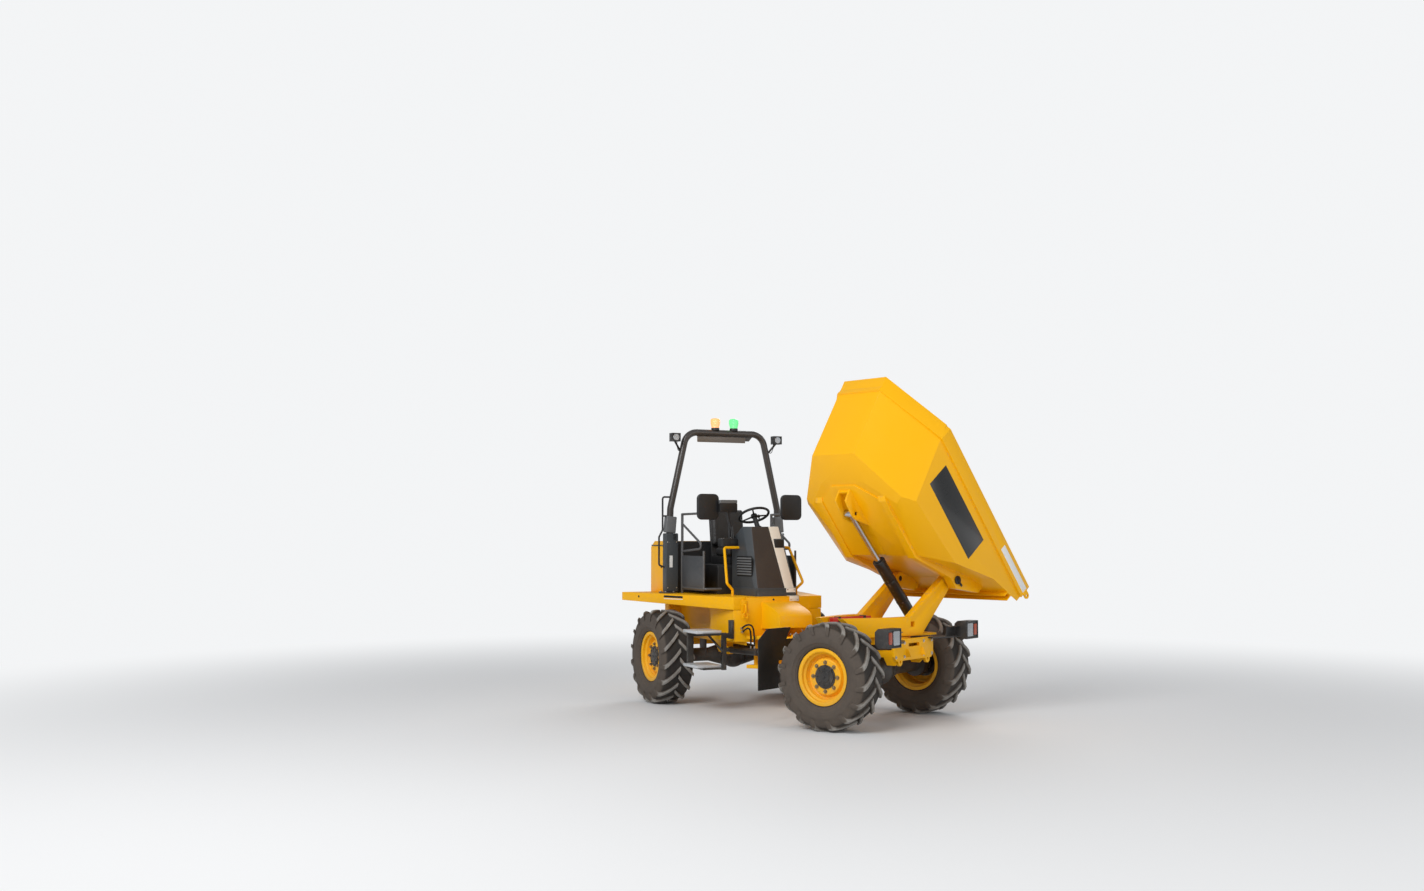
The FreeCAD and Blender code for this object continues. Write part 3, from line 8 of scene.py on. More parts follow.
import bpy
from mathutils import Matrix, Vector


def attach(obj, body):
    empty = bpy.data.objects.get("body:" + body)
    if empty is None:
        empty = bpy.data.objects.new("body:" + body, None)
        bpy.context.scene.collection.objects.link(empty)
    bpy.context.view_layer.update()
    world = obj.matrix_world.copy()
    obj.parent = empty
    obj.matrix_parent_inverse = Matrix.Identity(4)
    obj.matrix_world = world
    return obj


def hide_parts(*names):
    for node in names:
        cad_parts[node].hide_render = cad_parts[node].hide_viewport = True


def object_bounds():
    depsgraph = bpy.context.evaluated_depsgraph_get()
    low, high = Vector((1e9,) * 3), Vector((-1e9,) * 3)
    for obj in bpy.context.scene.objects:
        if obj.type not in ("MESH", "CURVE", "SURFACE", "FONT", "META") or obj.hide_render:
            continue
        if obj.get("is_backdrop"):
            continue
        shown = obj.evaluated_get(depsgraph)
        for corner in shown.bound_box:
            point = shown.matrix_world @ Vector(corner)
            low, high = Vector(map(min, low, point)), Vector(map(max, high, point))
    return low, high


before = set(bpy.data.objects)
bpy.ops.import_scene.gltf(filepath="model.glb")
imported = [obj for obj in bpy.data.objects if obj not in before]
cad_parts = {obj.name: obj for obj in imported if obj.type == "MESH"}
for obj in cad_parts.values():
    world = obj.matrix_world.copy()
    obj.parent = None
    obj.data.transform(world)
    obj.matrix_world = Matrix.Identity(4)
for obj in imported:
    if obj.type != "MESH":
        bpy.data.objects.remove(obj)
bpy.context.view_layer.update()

# %% [markdown]
# Blender's Python modules do the work from here on: `bmesh` shapes a mesh, `bpy` keeps the objects.

# %% Blender's tools
import math
import bmesh
import bpy
from mathutils import Matrix, Vector

scene = bpy.context.scene
print("working in Blender", bpy.app.version_string)

# %% [markdown]
# ## Four places to work in
#
# The machine is bent in the middle, its turntable is swung round and its skip is tipped. Modelling a
# part where it ends up would mean working at odd angles. So every part is drawn straight, in the frame
# of its own module, and one matrix per module carries it to its place. Each module is paired with the
# body of the motion model that its pieces ride on.

# %% Module frames
PIVOT = Vector((0.1798, -0.556, 0.0))
ARTICULATION, SLEW, TIP = (math.radians(a) for a in (26.9, 78.5, 52.0))
SLEW_X, HINGE_X, HINGE_Z = 1.02, 0.765, 1.465
REAR = Matrix.Translation(PIVOT)
FRONT = REAR @ Matrix.Rotation(ARTICULATION, 4, "Z")
SWIVEL = FRONT @ Matrix.Translation((SLEW_X, 0, 0)) @ Matrix.Rotation(SLEW, 4, "Z")
SKIP = SWIVEL @ Matrix.Translation((HINGE_X, 0, HINGE_Z)) @ Matrix.Rotation(TIP, 4, "Y")
HOME = Matrix.Identity(4)
ON_REAR = (REAR, "rear_chassis")
ON_FRONT = (FRONT, "front_chassis")
ON_SWIVEL = (SWIVEL, "swivel")
ON_SKIP = (SKIP, "skip")
print("skip hinge at", [round(v, 3) for v in SKIP.translation])

# %% [markdown]
# ## Camera
#
# The camera stands nearly sixteen metres off, a little above head height, with a moderate wide-angle
# lens. It is pitched up by three and a half degrees, because the raised skip is the highest thing.

# %% Camera
camera = bpy.data.objects.new("Camera", bpy.data.cameras.new("Camera"))
scene.collection.objects.link(camera)
STAND = Vector((13.713, -7.540, 1.96))
HEADING = Vector((-0.9026, 0.4305, 0.0))
PITCH = math.radians(3.57)
camera.location = PIVOT + STAND
look = HEADING * math.cos(PITCH) + Vector((0, 0, math.sin(PITCH)))
camera.rotation_mode = "QUATERNION"
camera.rotation_quaternion = look.to_track_quat("-Z", "Y")
camera.data.sensor_width = 36.0
camera.data.lens = 35.71
camera.data.clip_end = 400.0
scene.camera = camera
print("camera stands", round(STAND.length, 2), "m from the pivot")

# %% [markdown]
# Materials, the world and the floor are all built from shader nodes. Three helpers keep that short: one
# names a socket of a group, one adds a node with its settings, and one does sums with links or numbers.

# %% Node helpers
def socket(group, name, kind, output=False, value=None):
    """Adds one named socket to a node group."""
    made = group.interface.new_socket(name=name, in_out="OUTPUT" if output else "INPUT",
                                      socket_type="NodeSocket" + kind)
    if value is not None:
        made.default_value = value
    return made


def node(tree, kind, settings=(), **values):
    """Adds a node, sets its options and its unlinked inputs by name."""
    made = tree.nodes.new("ShaderNode" + kind)
    for key, value in dict(settings).items():
        setattr(made, key, value)
    for key, value in values.items():
        made.inputs[key.replace("_", " ")].default_value = value
    return made


def math_node(tree, operation, a, b):
    """A Math node whose inputs are links or plain numbers."""
    made = node(tree, "Math", {"operation": operation})
    for i, value in enumerate((a, b)):
        if isinstance(value, (int, float)):
            made.inputs[i].default_value = value
        else:
            tree.links.new(value, made.inputs[i])
    return made.outputs[0]


print("node helpers ready")

# %% [markdown]
# ## Floor and light
#
# A studio keeps the eye on the machine. One large soft lamp high on the camera's left is the main light,
# a weaker one on the right opens the shadows, and one behind lights the rims.

# %% Lamps
def lamp(name, place, size, watts):
    """A square soft box that faces the middle of the machine."""
    light = bpy.data.lights.new(name, "AREA")
    light.size = size
    light.energy = watts
    thing = bpy.data.objects.new(name, light)
    scene.collection.objects.link(thing)
    thing.location = place
    thing.rotation_mode = "QUATERNION"
    thing.rotation_quaternion = (MIDDLE - Vector(place)).to_track_quat("-Z", "Y")
    print(name, "lamp", round((MIDDLE - Vector(place)).length, 1), "m away")


MIDDLE = Vector((0.0, 0.0, 1.4))
lamp("Key", (7.0, -11.0, 10.0), 7.0, 1300)
lamp("Fill", (13.0, 5.0, 6.0), 8.0, 300)
lamp("Back", (-9.0, 8.0, 9.0), 6.0, 500)

# %% [markdown]
# The background is white for the camera and for what it sees through glass. Every other ray meets a
# softer sky, so the white adds no light to the paint.

# %% World
PAPER = (0.90, 0.91, 0.92, 1.0)
world = bpy.data.worlds.new("Studio")
scene.world = world
world.use_nodes = True
sky = world.node_tree
sky.nodes.clear()
soft = node(sky, "Background", Color=(0.93, 0.96, 1.0, 1.0), Strength=0.40)
white = node(sky, "Background", Color=PAPER, Strength=1.0)
path = node(sky, "LightPath")
seen = math_node(sky, "MAXIMUM", path.outputs["Is Camera Ray"], path.outputs["Is Transmission Ray"])
choose = node(sky, "MixShader")
for i, link in enumerate((seen, soft.outputs[0], white.outputs[0])):
    sky.links.new(link, choose.inputs[i])
sky.links.new(choose.outputs[0], node(sky, "OutputWorld").inputs["Surface"])
scene.view_settings.view_transform = "Standard"
print("world with", len(sky.nodes), "nodes")

# %% [markdown]
# The floor is one large square. Round the machine it is matt grey and takes shadows; further out it fades
# to the white of the background by the distance from the middle, so no horizon shows.

# %% Floor
ground = bpy.data.meshes.new("Floor")
ground_bm = bmesh.new()
bmesh.ops.create_grid(ground_bm, x_segments=1, y_segments=1, size=60.0)
ground_bm.to_mesh(ground)
ground_bm.free()
floor = bpy.data.objects.new("Floor", ground)
scene.collection.objects.link(floor)
floor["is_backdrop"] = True
floor_paint = bpy.data.materials.new("Studio floor")
floor_paint.use_nodes = True
floor_tree = floor_paint.node_tree
matt = floor_tree.nodes["Principled BSDF"]
matt.inputs["Base Color"].default_value = (0.78, 0.78, 0.78, 1)
matt.inputs["Roughness"].default_value = 0.85
where = node(floor_tree, "TexCoord")
reach = node(floor_tree, "VectorMath", {"operation": "LENGTH"})
fade = node(floor_tree, "MapRange", {"interpolation_type": "SMOOTHSTEP"}, From_Min=4.5, From_Max=13.0)
paper = node(floor_tree, "Emission", Color=PAPER)
joined = node(floor_tree, "MixShader")
floor_tree.links.new(where.outputs["Object"], reach.inputs[0])
floor_tree.links.new(reach.outputs["Value"], fade.inputs["Value"])
for i, link in enumerate((fade.outputs["Result"], matt.outputs["BSDF"], paper.outputs["Emission"])):
    floor_tree.links.new(link, joined.inputs[i])
floor_tree.links.new(joined.outputs["Shader"], floor_tree.nodes["Material Output"].inputs["Surface"])
ground.materials.append(floor_paint)
print("floor of", round(floor.dimensions.x), "m")

# %% [markdown]
# ## Effects that several finishes share
#
# A machine on a building site shows the same few things on every surface: dust that gathers low down
# and on ledges, paint with a faint orange-peel skin, and moulded grain. Each is a node group, built
# once with named sockets, so that a finish only has to say how much of it there is.

# %% [markdown]
# Dust settles on what faces up and sticks to what is near the ground. The mask adds the two and is
# broken up by a coarse and a fine noise.

# %% Dust group
dust = bpy.data.node_groups.new("Site dust", "ShaderNodeTree")
socket(dust, "Clean", "Color", value=(0.8, 0.4, 0.0, 1))
socket(dust, "Dust", "Color", value=(0.42, 0.36, 0.29, 1))
socket(dust, "Amount", "Float", value=0.5)
socket(dust, "Height", "Float", value=1.0)
socket(dust, "Ledges", "Float", value=0.3)
socket(dust, "Color", "Color", output=True)
socket(dust, "Mask", "Float", output=True)
inside = node(dust, "TexCoord")
given = dust.nodes.new("NodeGroupInput")
parts = node(dust, "SeparateXYZ")
dust.links.new(inside.outputs["Object"], parts.inputs[0])
blotch = node(dust, "TexNoise", Scale=3.2, Detail=6.0, Roughness=0.62)
dust.links.new(inside.outputs["Object"], blotch.inputs["Vector"])
speck = node(dust, "TexNoise", Scale=60.0, Detail=3.0, Roughness=0.7)
dust.links.new(inside.outputs["Object"], speck.inputs["Vector"])
low = math_node(dust, "DIVIDE", parts.outputs["Z"], given.outputs["Height"])
low = math_node(dust, "SUBTRACT", 1.0, low)
low = math_node(dust, "MAXIMUM", low, 0.0)
facing = node(dust, "NewGeometry")
up = node(dust, "SeparateXYZ")
dust.links.new(facing.outputs["Normal"], up.inputs[0])
ledge = math_node(dust, "MAXIMUM", up.outputs["Z"], 0.0)
ledge = math_node(dust, "MULTIPLY", ledge, given.outputs["Ledges"])
base = math_node(dust, "ADD", low, ledge)
cloud = node(dust, "MapRange", From_Min=0.36, From_Max=0.66, To_Min=0.15, To_Max=1.0)
dust.links.new(blotch.outputs["Fac"], cloud.inputs["Value"])
fine = node(dust, "MapRange", From_Min=0.3, From_Max=0.7, To_Min=0.7, To_Max=1.1)
dust.links.new(speck.outputs["Fac"], fine.inputs["Value"])
mask = math_node(dust, "MULTIPLY", base, cloud.outputs[0])
mask = math_node(dust, "MULTIPLY", mask, fine.outputs[0])
mask = math_node(dust, "MULTIPLY", mask, given.outputs["Amount"])
mask = math_node(dust, "MINIMUM", mask, 0.95)
blend = node(dust, "Mix", {"data_type": "RGBA"})
dust.links.new(mask, blend.inputs["Factor"])
dust.links.new(given.outputs["Clean"], blend.inputs[6])
dust.links.new(given.outputs["Dust"], blend.inputs[7])
taken = dust.nodes.new("NodeGroupOutput")
dust.links.new(blend.outputs[2], taken.inputs["Color"])
dust.links.new(mask, taken.inputs["Mask"])
print("dust group with", len(dust.nodes), "nodes")

# %% [markdown]
# No surface is perfectly even. Sprayed paint has a faint orange peel and moulded parts have a grain, so
# a small noise bends the normal and a larger one shifts the roughness.

# %% Skin group
skin = bpy.data.node_groups.new("Surface skin", "ShaderNodeTree")
socket(skin, "Scale", "Float", value=90.0)
socket(skin, "Depth", "Float", value=0.0004)
socket(skin, "Roughness", "Float", value=0.35)
socket(skin, "Variation", "Float", value=0.12)
socket(skin, "Roughness", "Float", output=True)
socket(skin, "Normal", "Vector", output=True)
given = skin.nodes.new("NodeGroupInput")
spot = node(skin, "TexCoord")
peel = node(skin, "TexNoise", Detail=2.0)
skin.links.new(spot.outputs["Object"], peel.inputs["Vector"])
skin.links.new(given.outputs["Scale"], peel.inputs["Scale"])
bump = node(skin, "Bump", Strength=1.0)
skin.links.new(given.outputs["Depth"], bump.inputs["Distance"])
skin.links.new(peel.outputs["Fac"], bump.inputs["Height"])
smear = node(skin, "TexNoise", Scale=4.5, Detail=5.0)
skin.links.new(spot.outputs["Object"], smear.inputs["Vector"])
shift = math_node(skin, "SUBTRACT", smear.outputs["Fac"], 0.5)
shift = math_node(skin, "MULTIPLY", shift, given.outputs["Variation"])
shift = math_node(skin, "MULTIPLY", shift, 2.0)
rough = math_node(skin, "ADD", shift, given.outputs["Roughness"])
taken = skin.nodes.new("NodeGroupOutput")
skin.links.new(rough, taken.inputs["Roughness"])
skin.links.new(bump.outputs["Normal"], taken.inputs["Normal"])
print("skin group with", len(skin.nodes), "nodes")

# %% [markdown]
# Paint rubs off first where sheet metal is folded or cut. Blender's Pointiness is high on such convex
# edges, and a noise breaks the line up, because nobody wears an edge evenly.

# %% Edge wear group
wear = bpy.data.node_groups.new("Edge wear", "ShaderNodeTree")
socket(wear, "Color", "Color", value=(0.8, 0.4, 0.0, 1))
socket(wear, "Worn", "Color", value=(0.30, 0.27, 0.24, 1))
socket(wear, "Amount", "Float", value=0.5)
socket(wear, "Color", "Color", output=True)
socket(wear, "Mask", "Float", output=True)
given = wear.nodes.new("NodeGroupInput")
spot = node(wear, "TexCoord")
shape = node(wear, "NewGeometry")
chips = node(wear, "TexNoise", Scale=26.0, Detail=6.0, Roughness=0.7)
wear.links.new(spot.outputs["Object"], chips.inputs["Vector"])
edge = node(wear, "MapRange", From_Min=0.53, From_Max=0.60)
wear.links.new(shape.outputs["Pointiness"], edge.inputs["Value"])
flake = node(wear, "MapRange", From_Min=0.52, From_Max=0.62)
wear.links.new(chips.outputs["Fac"], flake.inputs["Value"])
mask = math_node(wear, "MULTIPLY", edge.outputs[0], flake.outputs[0])
mask = math_node(wear, "MULTIPLY", mask, given.outputs["Amount"])
blend = node(wear, "Mix", {"data_type": "RGBA"})
wear.links.new(mask, blend.inputs["Factor"])
wear.links.new(given.outputs["Color"], blend.inputs[6])
wear.links.new(given.outputs["Worn"], blend.inputs[7])
taken = wear.nodes.new("NodeGroupOutput")
wear.links.new(blend.outputs[2], taken.inputs["Color"])
wear.links.new(mask, taken.inputs["Mask"])
print("shared effects:", [g.name for g in bpy.data.node_groups])

# %% [markdown]
# ## Finishes
#
# One function joins the three effects to a Principled BSDF. What is the same all over a surface, such as
# its clear coat, is set on the shader itself; what changes from place to place comes from the groups.


def effect(tree, group, **values):
    """Adds a shared effect to a material and sets its inputs by name."""
    made = tree.nodes.new("ShaderNodeGroup")
    made.node_tree = group
    for key, value in values.items():
        made.inputs[key].default_value = value
    return made


def shader_of(name):
    """A new material with nodes; gives back the material, its tree and its shader."""
    made = bpy.data.materials.new(name)
    made.use_nodes = True
    return made, made.node_tree, made.node_tree.nodes["Principled BSDF"]


def finish(name, color, roughness=0.4, metallic=0.0, coat=0.0, dusty=0.4, height=1.3, ledges=0.25,
           worn=0.0, peel=90.0, depth=0.0003, variation=0.1, dust_color=(0.40, 0.34, 0.27, 1), shine=0.5):
    """A painted, moulded or metal surface with dust, skin and wear."""
    made, tree, shader = shader_of(name)
    shader.inputs["Metallic"].default_value = metallic
    shader.inputs["Coat Weight"].default_value = coat
    shader.inputs["Coat Roughness"].default_value = 0.12
    shader.inputs["Specular IOR Level"].default_value = shine
    edges = effect(tree, wear, Color=(*color, 1), Amount=worn)
    dirt = effect(tree, dust, Amount=dusty, Height=height, Ledges=ledges, Dust=dust_color)
    surface = effect(tree, skin, Scale=peel, Depth=depth, Roughness=roughness, Variation=variation)
    tree.links.new(edges.outputs["Color"], dirt.inputs["Clean"])
    tree.links.new(dirt.outputs["Color"], shader.inputs["Base Color"])
    dull = math_node(tree, "MULTIPLY", dirt.outputs["Mask"], 0.6)
    dull = math_node(tree, "ADD", dull, surface.outputs["Roughness"])
    tree.links.new(dull, shader.inputs["Roughness"])
    tree.links.new(surface.outputs["Normal"], shader.inputs["Normal"])
    return made


print("finish maker ready")

# %% [markdown]
# The machine is sprayed in one yellow. Its skip has more scratches and its wheels more dust, and low
# down everything is dustier. Steel that isn't yellow is black or charcoal, and fasteners stay bare.

# %% Paints and metals
YELLOW = (0.95, 0.47, 0.0)
paint = finish("Machine yellow", YELLOW, 0.42, coat=0.03, dusty=0.10, height=1.0, worn=0.25,
               shine=0.2)
skip_paint = finish("Skip yellow", YELLOW, 0.36, coat=0.04, dusty=0.16, height=1.0,
                    ledges=0.1, worn=0.35, shine=0.3)
rim_paint = finish("Wheel yellow", YELLOW, 0.38, coat=0.04, dusty=0.28, height=1.0, worn=0.2,
                   shine=0.3)
charcoal = finish("Charcoal paint", (0.045, 0.038, 0.034), 0.36, coat=0.2, dusty=0.12,
                  height=2.0, worn=0.3)
black_paint = finish("Black steel", (0.012, 0.012, 0.013), 0.38, coat=0.1, dusty=0.35,
                     height=1.2, worn=0.3)
red_paint = finish("Prop red", (0.62, 0.02, 0.01), 0.36, coat=0.2, dusty=0.15, height=2.0,
                   worn=0.2)
tube_grey = finish("Guard tube", (0.085, 0.084, 0.086), 0.40, coat=0.1, dusty=0.10,
                   height=2.2, worn=0.2)
guard_grey = finish("Guard slate", (0.040, 0.043, 0.048), 0.42, coat=0.1, dusty=0.12,
                    height=2.2, worn=0.25)
chrome = finish("Hard chrome", (0.55, 0.55, 0.57), 0.12, metallic=1.0, dusty=0.05, peel=300.0,
                depth=0.00002, variation=0.04)
bright = finish("Bright fasteners", (0.62, 0.60, 0.56), 0.28, metallic=1.0, dusty=0.15)
stud = finish("Bronzed studs", (0.33, 0.25, 0.14), 0.34, metallic=0.9, dusty=0.2)
zinc = finish("Galvanised steel", (0.66, 0.68, 0.70), 0.42, metallic=0.45, dusty=0.14,
              height=1.4, peel=40.0, depth=0.0002, variation=0.2)
print(len(bpy.data.materials), "finishes so far")

# %% [markdown]
# Mouldings, rubber and vinyl have a grain instead of orange peel: the same noise, finer and deeper.

# %% Mouldings, rubber and plates
# On the console, this slate's bluish tint is partly a painted reflection of the sky.
panel_grey = finish("Slate moulding", (0.042, 0.050, 0.057), 0.5, dusty=0.14, height=2.4,
                    peel=420.0, depth=0.0006)
black_plastic = finish("Black plastic", (0.014, 0.014, 0.015), 0.48, dusty=0.2,
                       height=1.6, peel=500.0, depth=0.0005)
cap_grey = finish("Grey cap", (0.135, 0.140, 0.145), 0.5, dusty=0.12, height=2.6,
                  peel=420.0, depth=0.0005)
# The console's front is the same moulding as its sides; this darker brown is painted shade.
shaded_console_front = finish("Console front shade", (0.040, 0.031, 0.028), 0.48, dusty=0.10, height=2.4,
                     peel=420.0, depth=0.0005)
flap = finish("Flap rubber", (0.004, 0.004, 0.004), 0.62, dusty=0.08, height=1.2,
              peel=300.0, depth=0.0005)
cream = finish("Cream moulding", (0.86, 0.80, 0.70), 0.38, coat=0.15, dusty=0.08,
               height=2.0, peel=400.0)
vinyl = finish("Seat vinyl", (0.020, 0.020, 0.021), 0.5, dusty=0.12, height=2.6, peel=320.0,
               depth=0.0008)
brown_plate = finish("Brown plate", (0.13, 0.105, 0.085), 0.40, coat=0.1, dusty=0.10)
label = finish("Blank label", (0.80, 0.80, 0.78), 0.35, coat=0.2, dusty=0.05)
plate_black = finish("Blank plate", (0.012, 0.012, 0.012), 0.30, coat=0.3, dusty=0.06)
print(len(bpy.data.materials), "finishes so far")

# %% [markdown]
# A tyre isn't one colour. The tops of its lugs are a light grey that is partly dry dust where they roll
# and partly a painted highlight of the rubber's sheen. Its side walls are a warm dark brown, and the gaps
# between the lugs stay black. The mesh carries an attribute named crown, one on the tops, a half on the
# walls and zero in the gaps, and a colour ramp reads it.

# %% Tyre finish
rubber = finish("Tyre rubber", (0.02, 0.02, 0.02), 0.74, dusty=0.32, height=1.4, ledges=0.2,
                peel=260.0, depth=0.0010, dust_color=(0.140, 0.116, 0.092, 1))
tyre_tree = rubber.node_tree
tread_zone = node(tyre_tree, "Attribute", {"attribute_name": "crown"})
place_in = node(tyre_tree, "TexCoord")
streak = node(tyre_tree, "TexNoise", Scale=9.0, Detail=6.0, Roughness=0.65)
tyre_tree.links.new(place_in.outputs["Object"], streak.inputs["Vector"])
uneven = node(tyre_tree, "MapRange", From_Min=0.3, From_Max=0.62, To_Min=0.72, To_Max=1.0)
tyre_tree.links.new(streak.outputs["Fac"], uneven.inputs["Value"])
share = math_node(tyre_tree, "MULTIPLY", tread_zone.outputs["Fac"], uneven.outputs[0])
zones = node(tyre_tree, "ValToRGB")
gaps, highlit_dusty_tops = zones.color_ramp.elements
gaps.color = (0.022, 0.019, 0.017, 1)
# The light grey of the lug tops is partly dust and partly a painted highlight of the rubber's sheen.
highlit_dusty_tops.color = (0.330, 0.315, 0.290, 1)
zones.color_ramp.elements.new(0.5).color = (0.088, 0.068, 0.053, 1)
tyre_tree.links.new(share, zones.inputs["Fac"])
under_wear = next(n for n in tyre_tree.nodes if n.type == "GROUP" and n.node_tree == wear)
tyre_tree.links.new(zones.outputs["Color"], under_wear.inputs["Color"])
print("tyre finish with", len(tyre_tree.nodes), "nodes")

# %% [markdown]
# Lenses, lamp glass and mirror glass are polished all over, so they are plain shaders with a fine
# ripple. The two beacons are lit: they give off a little of their own colour, paler where the lens faces
# the eye and its lamp shines through.

# %% Lenses and glass
def lens(name, color, glow=0.0, metallic=0.0, rough=0.08, ribs=0.0):
    """A polished lens, coloured or clear, with moulded ribs if wanted."""
    made, tree, shader = shader_of(name)
    shader.inputs["Base Color"].default_value = (*color, 1)
    shader.inputs["Roughness"].default_value = rough
    shader.inputs["Metallic"].default_value = metallic
    shader.inputs["Emission Color"].default_value = (*color, 1)
    shader.inputs["Emission Strength"].default_value = glow
    spot = node(tree, "TexCoord")
    ripple = node(tree, "TexWave", {"bands_direction": "Z"}, Scale=60.0 if ribs else 8.0, Distortion=0.3)
    tree.links.new(spot.outputs["Object"], ripple.inputs["Vector"])
    bump = node(tree, "Bump", Strength=0.5, Distance=ribs or 0.0001)
    tree.links.new(ripple.outputs["Fac"], bump.inputs["Height"])
    tree.links.new(bump.outputs["Normal"], shader.inputs["Normal"])
    if glow > 0.5:
        rim = node(tree, "LayerWeight", Blend=0.35)
        core = node(tree, "Mix", {"data_type": "RGBA"})
        core.inputs[6].default_value = (*(0.35 + 0.65 * c for c in color), 1)
        core.inputs[7].default_value = (*color, 1)
        tree.links.new(rim.outputs["Facing"], core.inputs["Factor"])
        tree.links.new(core.outputs[2], shader.inputs["Emission Color"])
    return made


amber = lens("Amber lens", (1.0, 0.32, 0.01), glow=0.8, ribs=0.002)
green = lens("Green lens", (0.03, 0.75, 0.16), glow=0.6, ribs=0.002)
lamp_glass = lens("Lamp glass", (0.42, 0.44, 0.46), glow=0.04, metallic=0.6, rough=0.12,
                  ribs=0.001)
mirror_glass = lens("Mirror glass", (0.82, 0.84, 0.86), metallic=1.0, rough=0.03)
orange_lens = lens("Orange lens", (0.42, 0.055, 0.012), ribs=0.001)
red_lens = lens("Red lens", (0.55, 0.01, 0.01), ribs=0.001)
print("lenses:", [m.name for m in (amber, green, lamp_glass, mirror_glass, orange_lens)])

# %% [markdown]
# ## Tools for pieces
#
# `place` turns a finished bmesh into an object: it carries the mesh to the module's place, keeps the
# object itself at the origin and says which body it rides on. Every piece goes through it. Light catches
# a rounded edge, and without one sheet steel looks like cut paper, so the other tools all bevel.

# %% Placing a piece
def place(bm, name, on, material, smooth=40):
    """Makes the object from a bmesh; `on` holds the matrix of its place and the body it rides on."""
    module, body = on
    bmesh.ops.transform(bm, matrix=module, verts=bm.verts)
    bmesh.ops.recalc_face_normals(bm, faces=bm.faces)
    mesh = bpy.data.meshes.new(name)
    bm.to_mesh(mesh)
    bm.free()
    mesh.shade_smooth()
    mesh.set_sharp_from_angle(angle=math.radians(smooth))
    mesh.materials.append(material)
    thing = bpy.data.objects.new(name, mesh)
    scene.collection.objects.link(thing)
    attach(thing, body)
    print(name, len(mesh.polygons), "faces")
    return thing


print("place ready")

# %% [markdown]
# `rounded` takes a CAD solid, merges its loose triangles into flat faces, bevels the hard edges and lets
# the result replace the solid. The angle says how sharp a fold has to be to count as an edge.

# %% Rounded copies of the solids
def bevel(bm, edges, width, segments=2):
    """Rounds the given edges."""
    bmesh.ops.bevel(bm, geom=list(edges), offset=width, offset_type="OFFSET", segments=segments,
                    profile=0.5, affect="EDGES", clamp_overlap=True, material=-1)


def hard_edges(bm, angle=30):
    """Edges where two faces meet at more than an angle."""
    limit = math.radians(angle)
    return [e for e in bm.edges if len(e.link_faces) == 2 and e.calc_face_angle(0.0) > limit]


def merged_copy(name):
    """A bmesh of a CAD solid with its triangles merged into flat faces."""
    bm = bmesh.new()
    bm.from_mesh(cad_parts[name].data)
    bmesh.ops.remove_doubles(bm, verts=bm.verts, dist=0.00003)
    bmesh.ops.dissolve_limit(bm, angle_limit=math.radians(0.6), use_dissolve_boundaries=False,
                             verts=bm.verts, edges=bm.edges)
    return bm


def rounded(name, body, material, width=0.002, segments=2, angle=30):
    """Replaces a CAD solid, which is in its place already, by a copy with rounded edges."""
    bm = merged_copy(name)
    bevel(bm, hard_edges(bm, angle), width, segments)
    thing = place(bm, name + "_skin", (HOME, body), material)
    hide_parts(name)
    return thing


print("rounded ready")

# %% [markdown]
# Most fittings are a few simple forms. Each tool adds its form to a bmesh, so one piece can be welded up
# from several. A box is a scaled cube, a bar is a cone with two equal ends, and a cut plate is an outline
# that is extruded.

# %% Boxes, bars and plates
def block(bm, low, high, width=0.0, segments=2):
    """Adds a box between two corners, its edges rounded, and gives back its vertices."""
    low, high = Vector(low), Vector(high)
    made = bmesh.ops.create_cube(bm, size=1.0)["verts"]
    size = high - low
    bmesh.ops.scale(bm, vec=size, verts=made)
    bmesh.ops.translate(bm, vec=(low + high) / 2, verts=made)
    if width:
        edges = {e for v in made for e in v.link_edges}
        before = set(bm.verts) - set(made)
        bevel(bm, edges, width, segments)
        made = [v for v in bm.verts if v not in before]
    return made


def cylinder(bm, start, end, radius, radius_end=None, sides=32, width=0.0):
    """Adds a closed round bar between two points, its rims rounded."""
    start, end = Vector(start), Vector(end)
    way = end - start
    turn = way.to_track_quat("Z", "Y").to_matrix().to_4x4()
    before = set(bm.verts)
    made = bmesh.ops.create_cone(bm, cap_ends=True, segments=sides, radius1=radius,
                                 radius2=radius if radius_end is None else radius_end, depth=way.length,
                                 matrix=Matrix.Translation((start + end) / 2) @ turn)["verts"]
    if width:
        rims = {e for v in made for e in v.link_edges if len(e.link_faces) == 2
                and e.calc_face_angle(0.0) > math.radians(50)}
        bevel(bm, rims, width, 2)
        made = [v for v in bm.verts if v not in before]
    return made


def plate(bm, points, depth, width=0.0):
    """Draws an outline and extrudes it by a vector; its edges are rounded if wanted."""
    before = set(bm.verts)
    face = bm.faces.new([bm.verts.new(p) for p in points])
    grown = bmesh.ops.extrude_face_region(bm, geom=[face])["geom"]
    bmesh.ops.translate(bm, vec=depth, verts=[g for g in grown if isinstance(g, bmesh.types.BMVert)])
    made = [v for v in bm.verts if v not in before]
    bmesh.ops.recalc_face_normals(bm, faces=list({f for v in made for f in v.link_faces}))
    if width:
        bevel(bm, {e for v in made for e in v.link_edges}, width, 2)
    return [v for v in bm.verts if v not in before]


print("boxes, bars and plates ready")

# %% [markdown]
# A bent tube could be a curve with a round section, but its bends would then be soft all along. A pipe
# bender leaves straight runs and arcs of one radius. So a circle is extruded along each run and spun
# round the centre of each bend.

# %% Bent tubes
def run(bm, edges, vector):
    """Extrudes an open ring of edges along a vector and gives back its far end."""
    grown = bmesh.ops.extrude_edge_only(bm, edges=edges)["geom"]
    verts = {g for g in grown if isinstance(g, bmesh.types.BMVert)}
    bmesh.ops.translate(bm, vec=vector, verts=list(verts))
    return [g for g in grown if isinstance(g, bmesh.types.BMEdge) and set(g.verts) <= verts]


